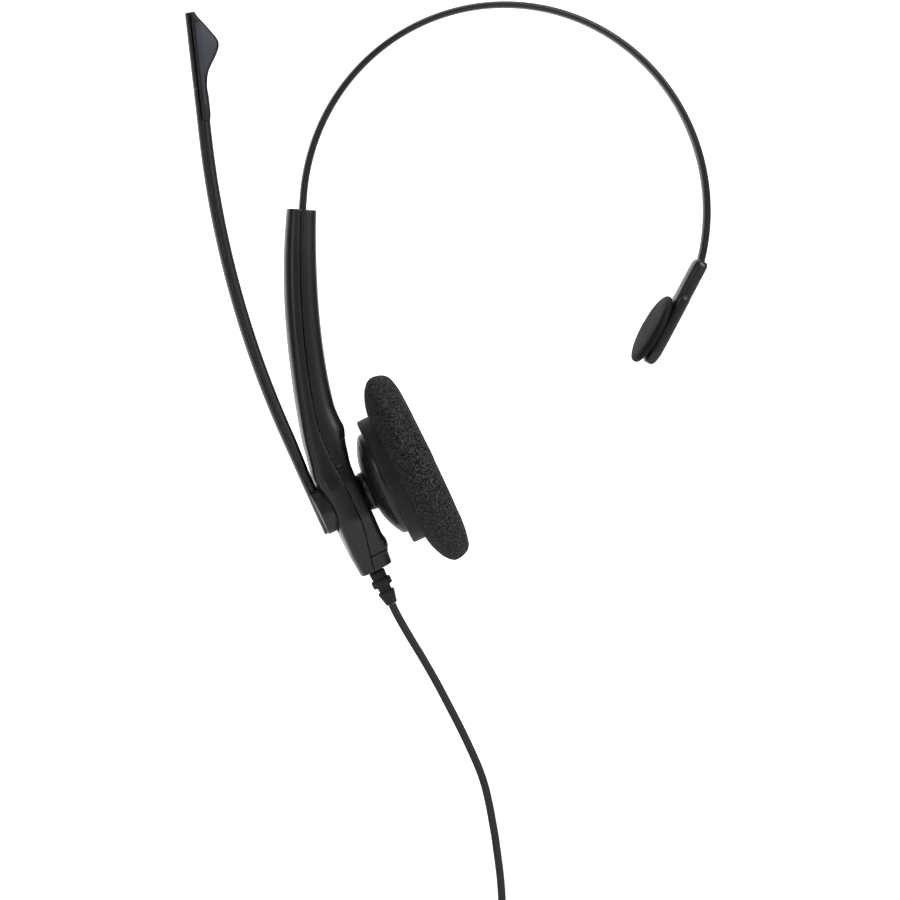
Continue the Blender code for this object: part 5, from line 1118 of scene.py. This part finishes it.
def hank_line():
    """Turns of the bundle: a stadium of straight run L and radius r, walked down its left leg first.

    At phase p of a turn of length 2L + 2 pi r the point lies on the left leg for p < L, then round the
    bottom, up the right leg and round the top. The turn's cell changes by a smooth step at the top.
    """
    turn = 2 * HANK_RUN + 2 * math.pi * HANK_RADIUS
    last = turn * (len(HANK_CELLS) - 1) + HANK_RUN + math.pi * HANK_RADIUS * 0.5
    s = np.arange(0, last, 1.0)
    number = np.floor(s / turn).astype(int)
    phase = s - number * turn
    cells = np.array(HANK_CELLS, dtype=float)
    start, end = turn - math.pi * HANK_RADIUS * 0.8, turn - 0.5
    t = np.clip((phase - start) / (end - start), 0, 1)
    t = t * t * (3 - 2 * t)
    following = np.minimum(number + 1, len(cells) - 1)
    cell = cells[number] * (1 - t)[:, None] + cells[following] * t[:, None]
    radius = HANK_RADIUS + STRAND * cell[:, 0]
    round_long = math.pi * HANK_RADIUS
    bottom = np.clip((phase - HANK_RUN) / round_long, 0, 1)
    around = bottom + np.clip((phase - 2 * HANK_RUN - round_long) / round_long, 0, 1)
    angle = math.pi * (1 + around)
    drop = np.clip(phase, 0, HANK_RUN) - np.clip(phase - HANK_RUN - round_long, 0, HANK_RUN)
    centre_x, top = HANK_LEG_X + HANK_RADIUS, HANK_TOP - HANK_RADIUS - 3.6
    x = centre_x + radius * np.cos(angle)
    z = top - drop + radius * np.sin(angle)
    return np.stack([x, STRAND * cell[:, 1], z], axis=1)


def add_tube(name, points, radius, material):
    """A round cord: a poly curve with a bevel and filled ends."""
    curve = bpy.data.curves.new(name, "CURVE")
    curve.dimensions = "3D"
    curve.bevel_depth = radius
    curve.bevel_resolution = 6
    curve.use_fill_caps = True
    curve.materials.append(material)
    spline = curve.splines.new("POLY")
    spline.points.add(len(points) - 1)
    spots = np.column_stack([points, np.ones(len(points))])
    spline.points.foreach_set("co", spots.astype(np.float32).ravel())
    obj = bpy.data.objects.new(name, curve)
    bpy.context.scene.collection.objects.link(obj)
    return obj


def make_lead():
    """One cord from the strain relief, down into a bundle of turns below the view, and out to the plug."""
    plug_x = HANK_LEG_X + 2 * HANK_RADIUS
    turns = hank_line()
    last = turns[-1]
    lead_in = [(HANK_LEG_X, 0, z) for z in (-282.0, -286.0)]
    out = [
        tuple(last + np.array([2.3, 0, -2.2])),
        (plug_x + 1.2, 1.6, PLUG_TOP + 7.0),
        (plug_x + 0.2, 0.4, PLUG_TOP + 3.0),
        (plug_x, 0, PLUG_TOP + 0.3),
    ]
    first = smooth_route(CORD_ROUTE + lead_in, 1.6)
    line = np.concatenate([first[:-1], turns[1:]])
    line = even_spacing(np.concatenate([line, smooth_route([tuple(last), *out], 1.0)[1:]]), 1.6)
    length = float(np.linalg.norm(np.diff(line, axis=0), axis=1).sum()) * MM
    cord = add_tube("lead_cord", line * MM, CORD_RADIUS, FINISHES["cord_black"])
    stand_for(cord, "cord", "cord_hank", "cord_tail")
    return cord, tuple(line[0] * MM), length


# ---------------------------------------------------------------- bundle's strap and plug

BOOT_RIBS = 4
STRAP_CORNER, STRAP_THICK = 1.6 * MM, 1.0 * MM


def make_bundle_end():
    """Strap round the bundle of cord, and the plug's ribbed boot."""
    rubber = FINISHES["soft_black"]
    plug = Place((HANK_LEG_X * MM + 2 * HANK_RADIUS * MM, 0, PLUG_TOP * MM), (1, 0, 0), (0, 0, 1))
    r = CORD_RADIUS
    outline = [(0, 0), (r + 0.5 * MM, 0)]
    for i in range(BOOT_RIBS):
        z = -(1.4 + 1.6 * i) * MM
        wide = r + (0.6 + 0.22 * i) * MM
        outline += [(wide, z), (wide - 0.35 * MM, z - 0.2 * MM), (wide - 0.35 * MM, z - 0.6 * MM),
                    (wide + 0.1 * MM, z - 0.8 * MM)]
    outline += [(r + 1.6 * MM, -8 * MM), (r + 1.6 * MM, -9.5 * MM), (0, -9.5 * MM)]
    stand_for(turned("plug_relief", outline, 0.12 * MM, plug, rubber, 48), "plug_boot")
    low, high = (np.array(v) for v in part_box("hank_tie"))
    half, middle = (high - low) / 2, (low + high) / 2

    def ring(shrink, z):
        """A rounded rectangle inside the tie's outline, at a height."""
        x, y = half[0] - shrink, half[1] - shrink
        loop = fillet([(x, -y), (x, y), (-x, y), (-x, -y)], max(STRAP_CORNER - shrink, 0.3 * MM), 6)
        return np.column_stack([loop[:, 0], loop[:, 1], np.full(len(loop), z)])

    thick, lip = STRAP_THICK, half[2]
    loops = [ring(0.15 * MM, -lip), ring(0, -lip + 0.3 * MM), ring(0, lip - 0.3 * MM), ring(0.15 * MM, lip),
             ring(thick, lip), ring(thick, -lip)]
    stand_for(loft("bundle_strap", middle + np.array(loops), rubber, wrap=True), "hank_tie")


finish_frame()
add_camera()
add_studio()
cord, cord_exit, cord_length = make_lead()
make_band_end()
make_arm()
make_boom()
make_microphone()
make_cup()
make_bundle_end()
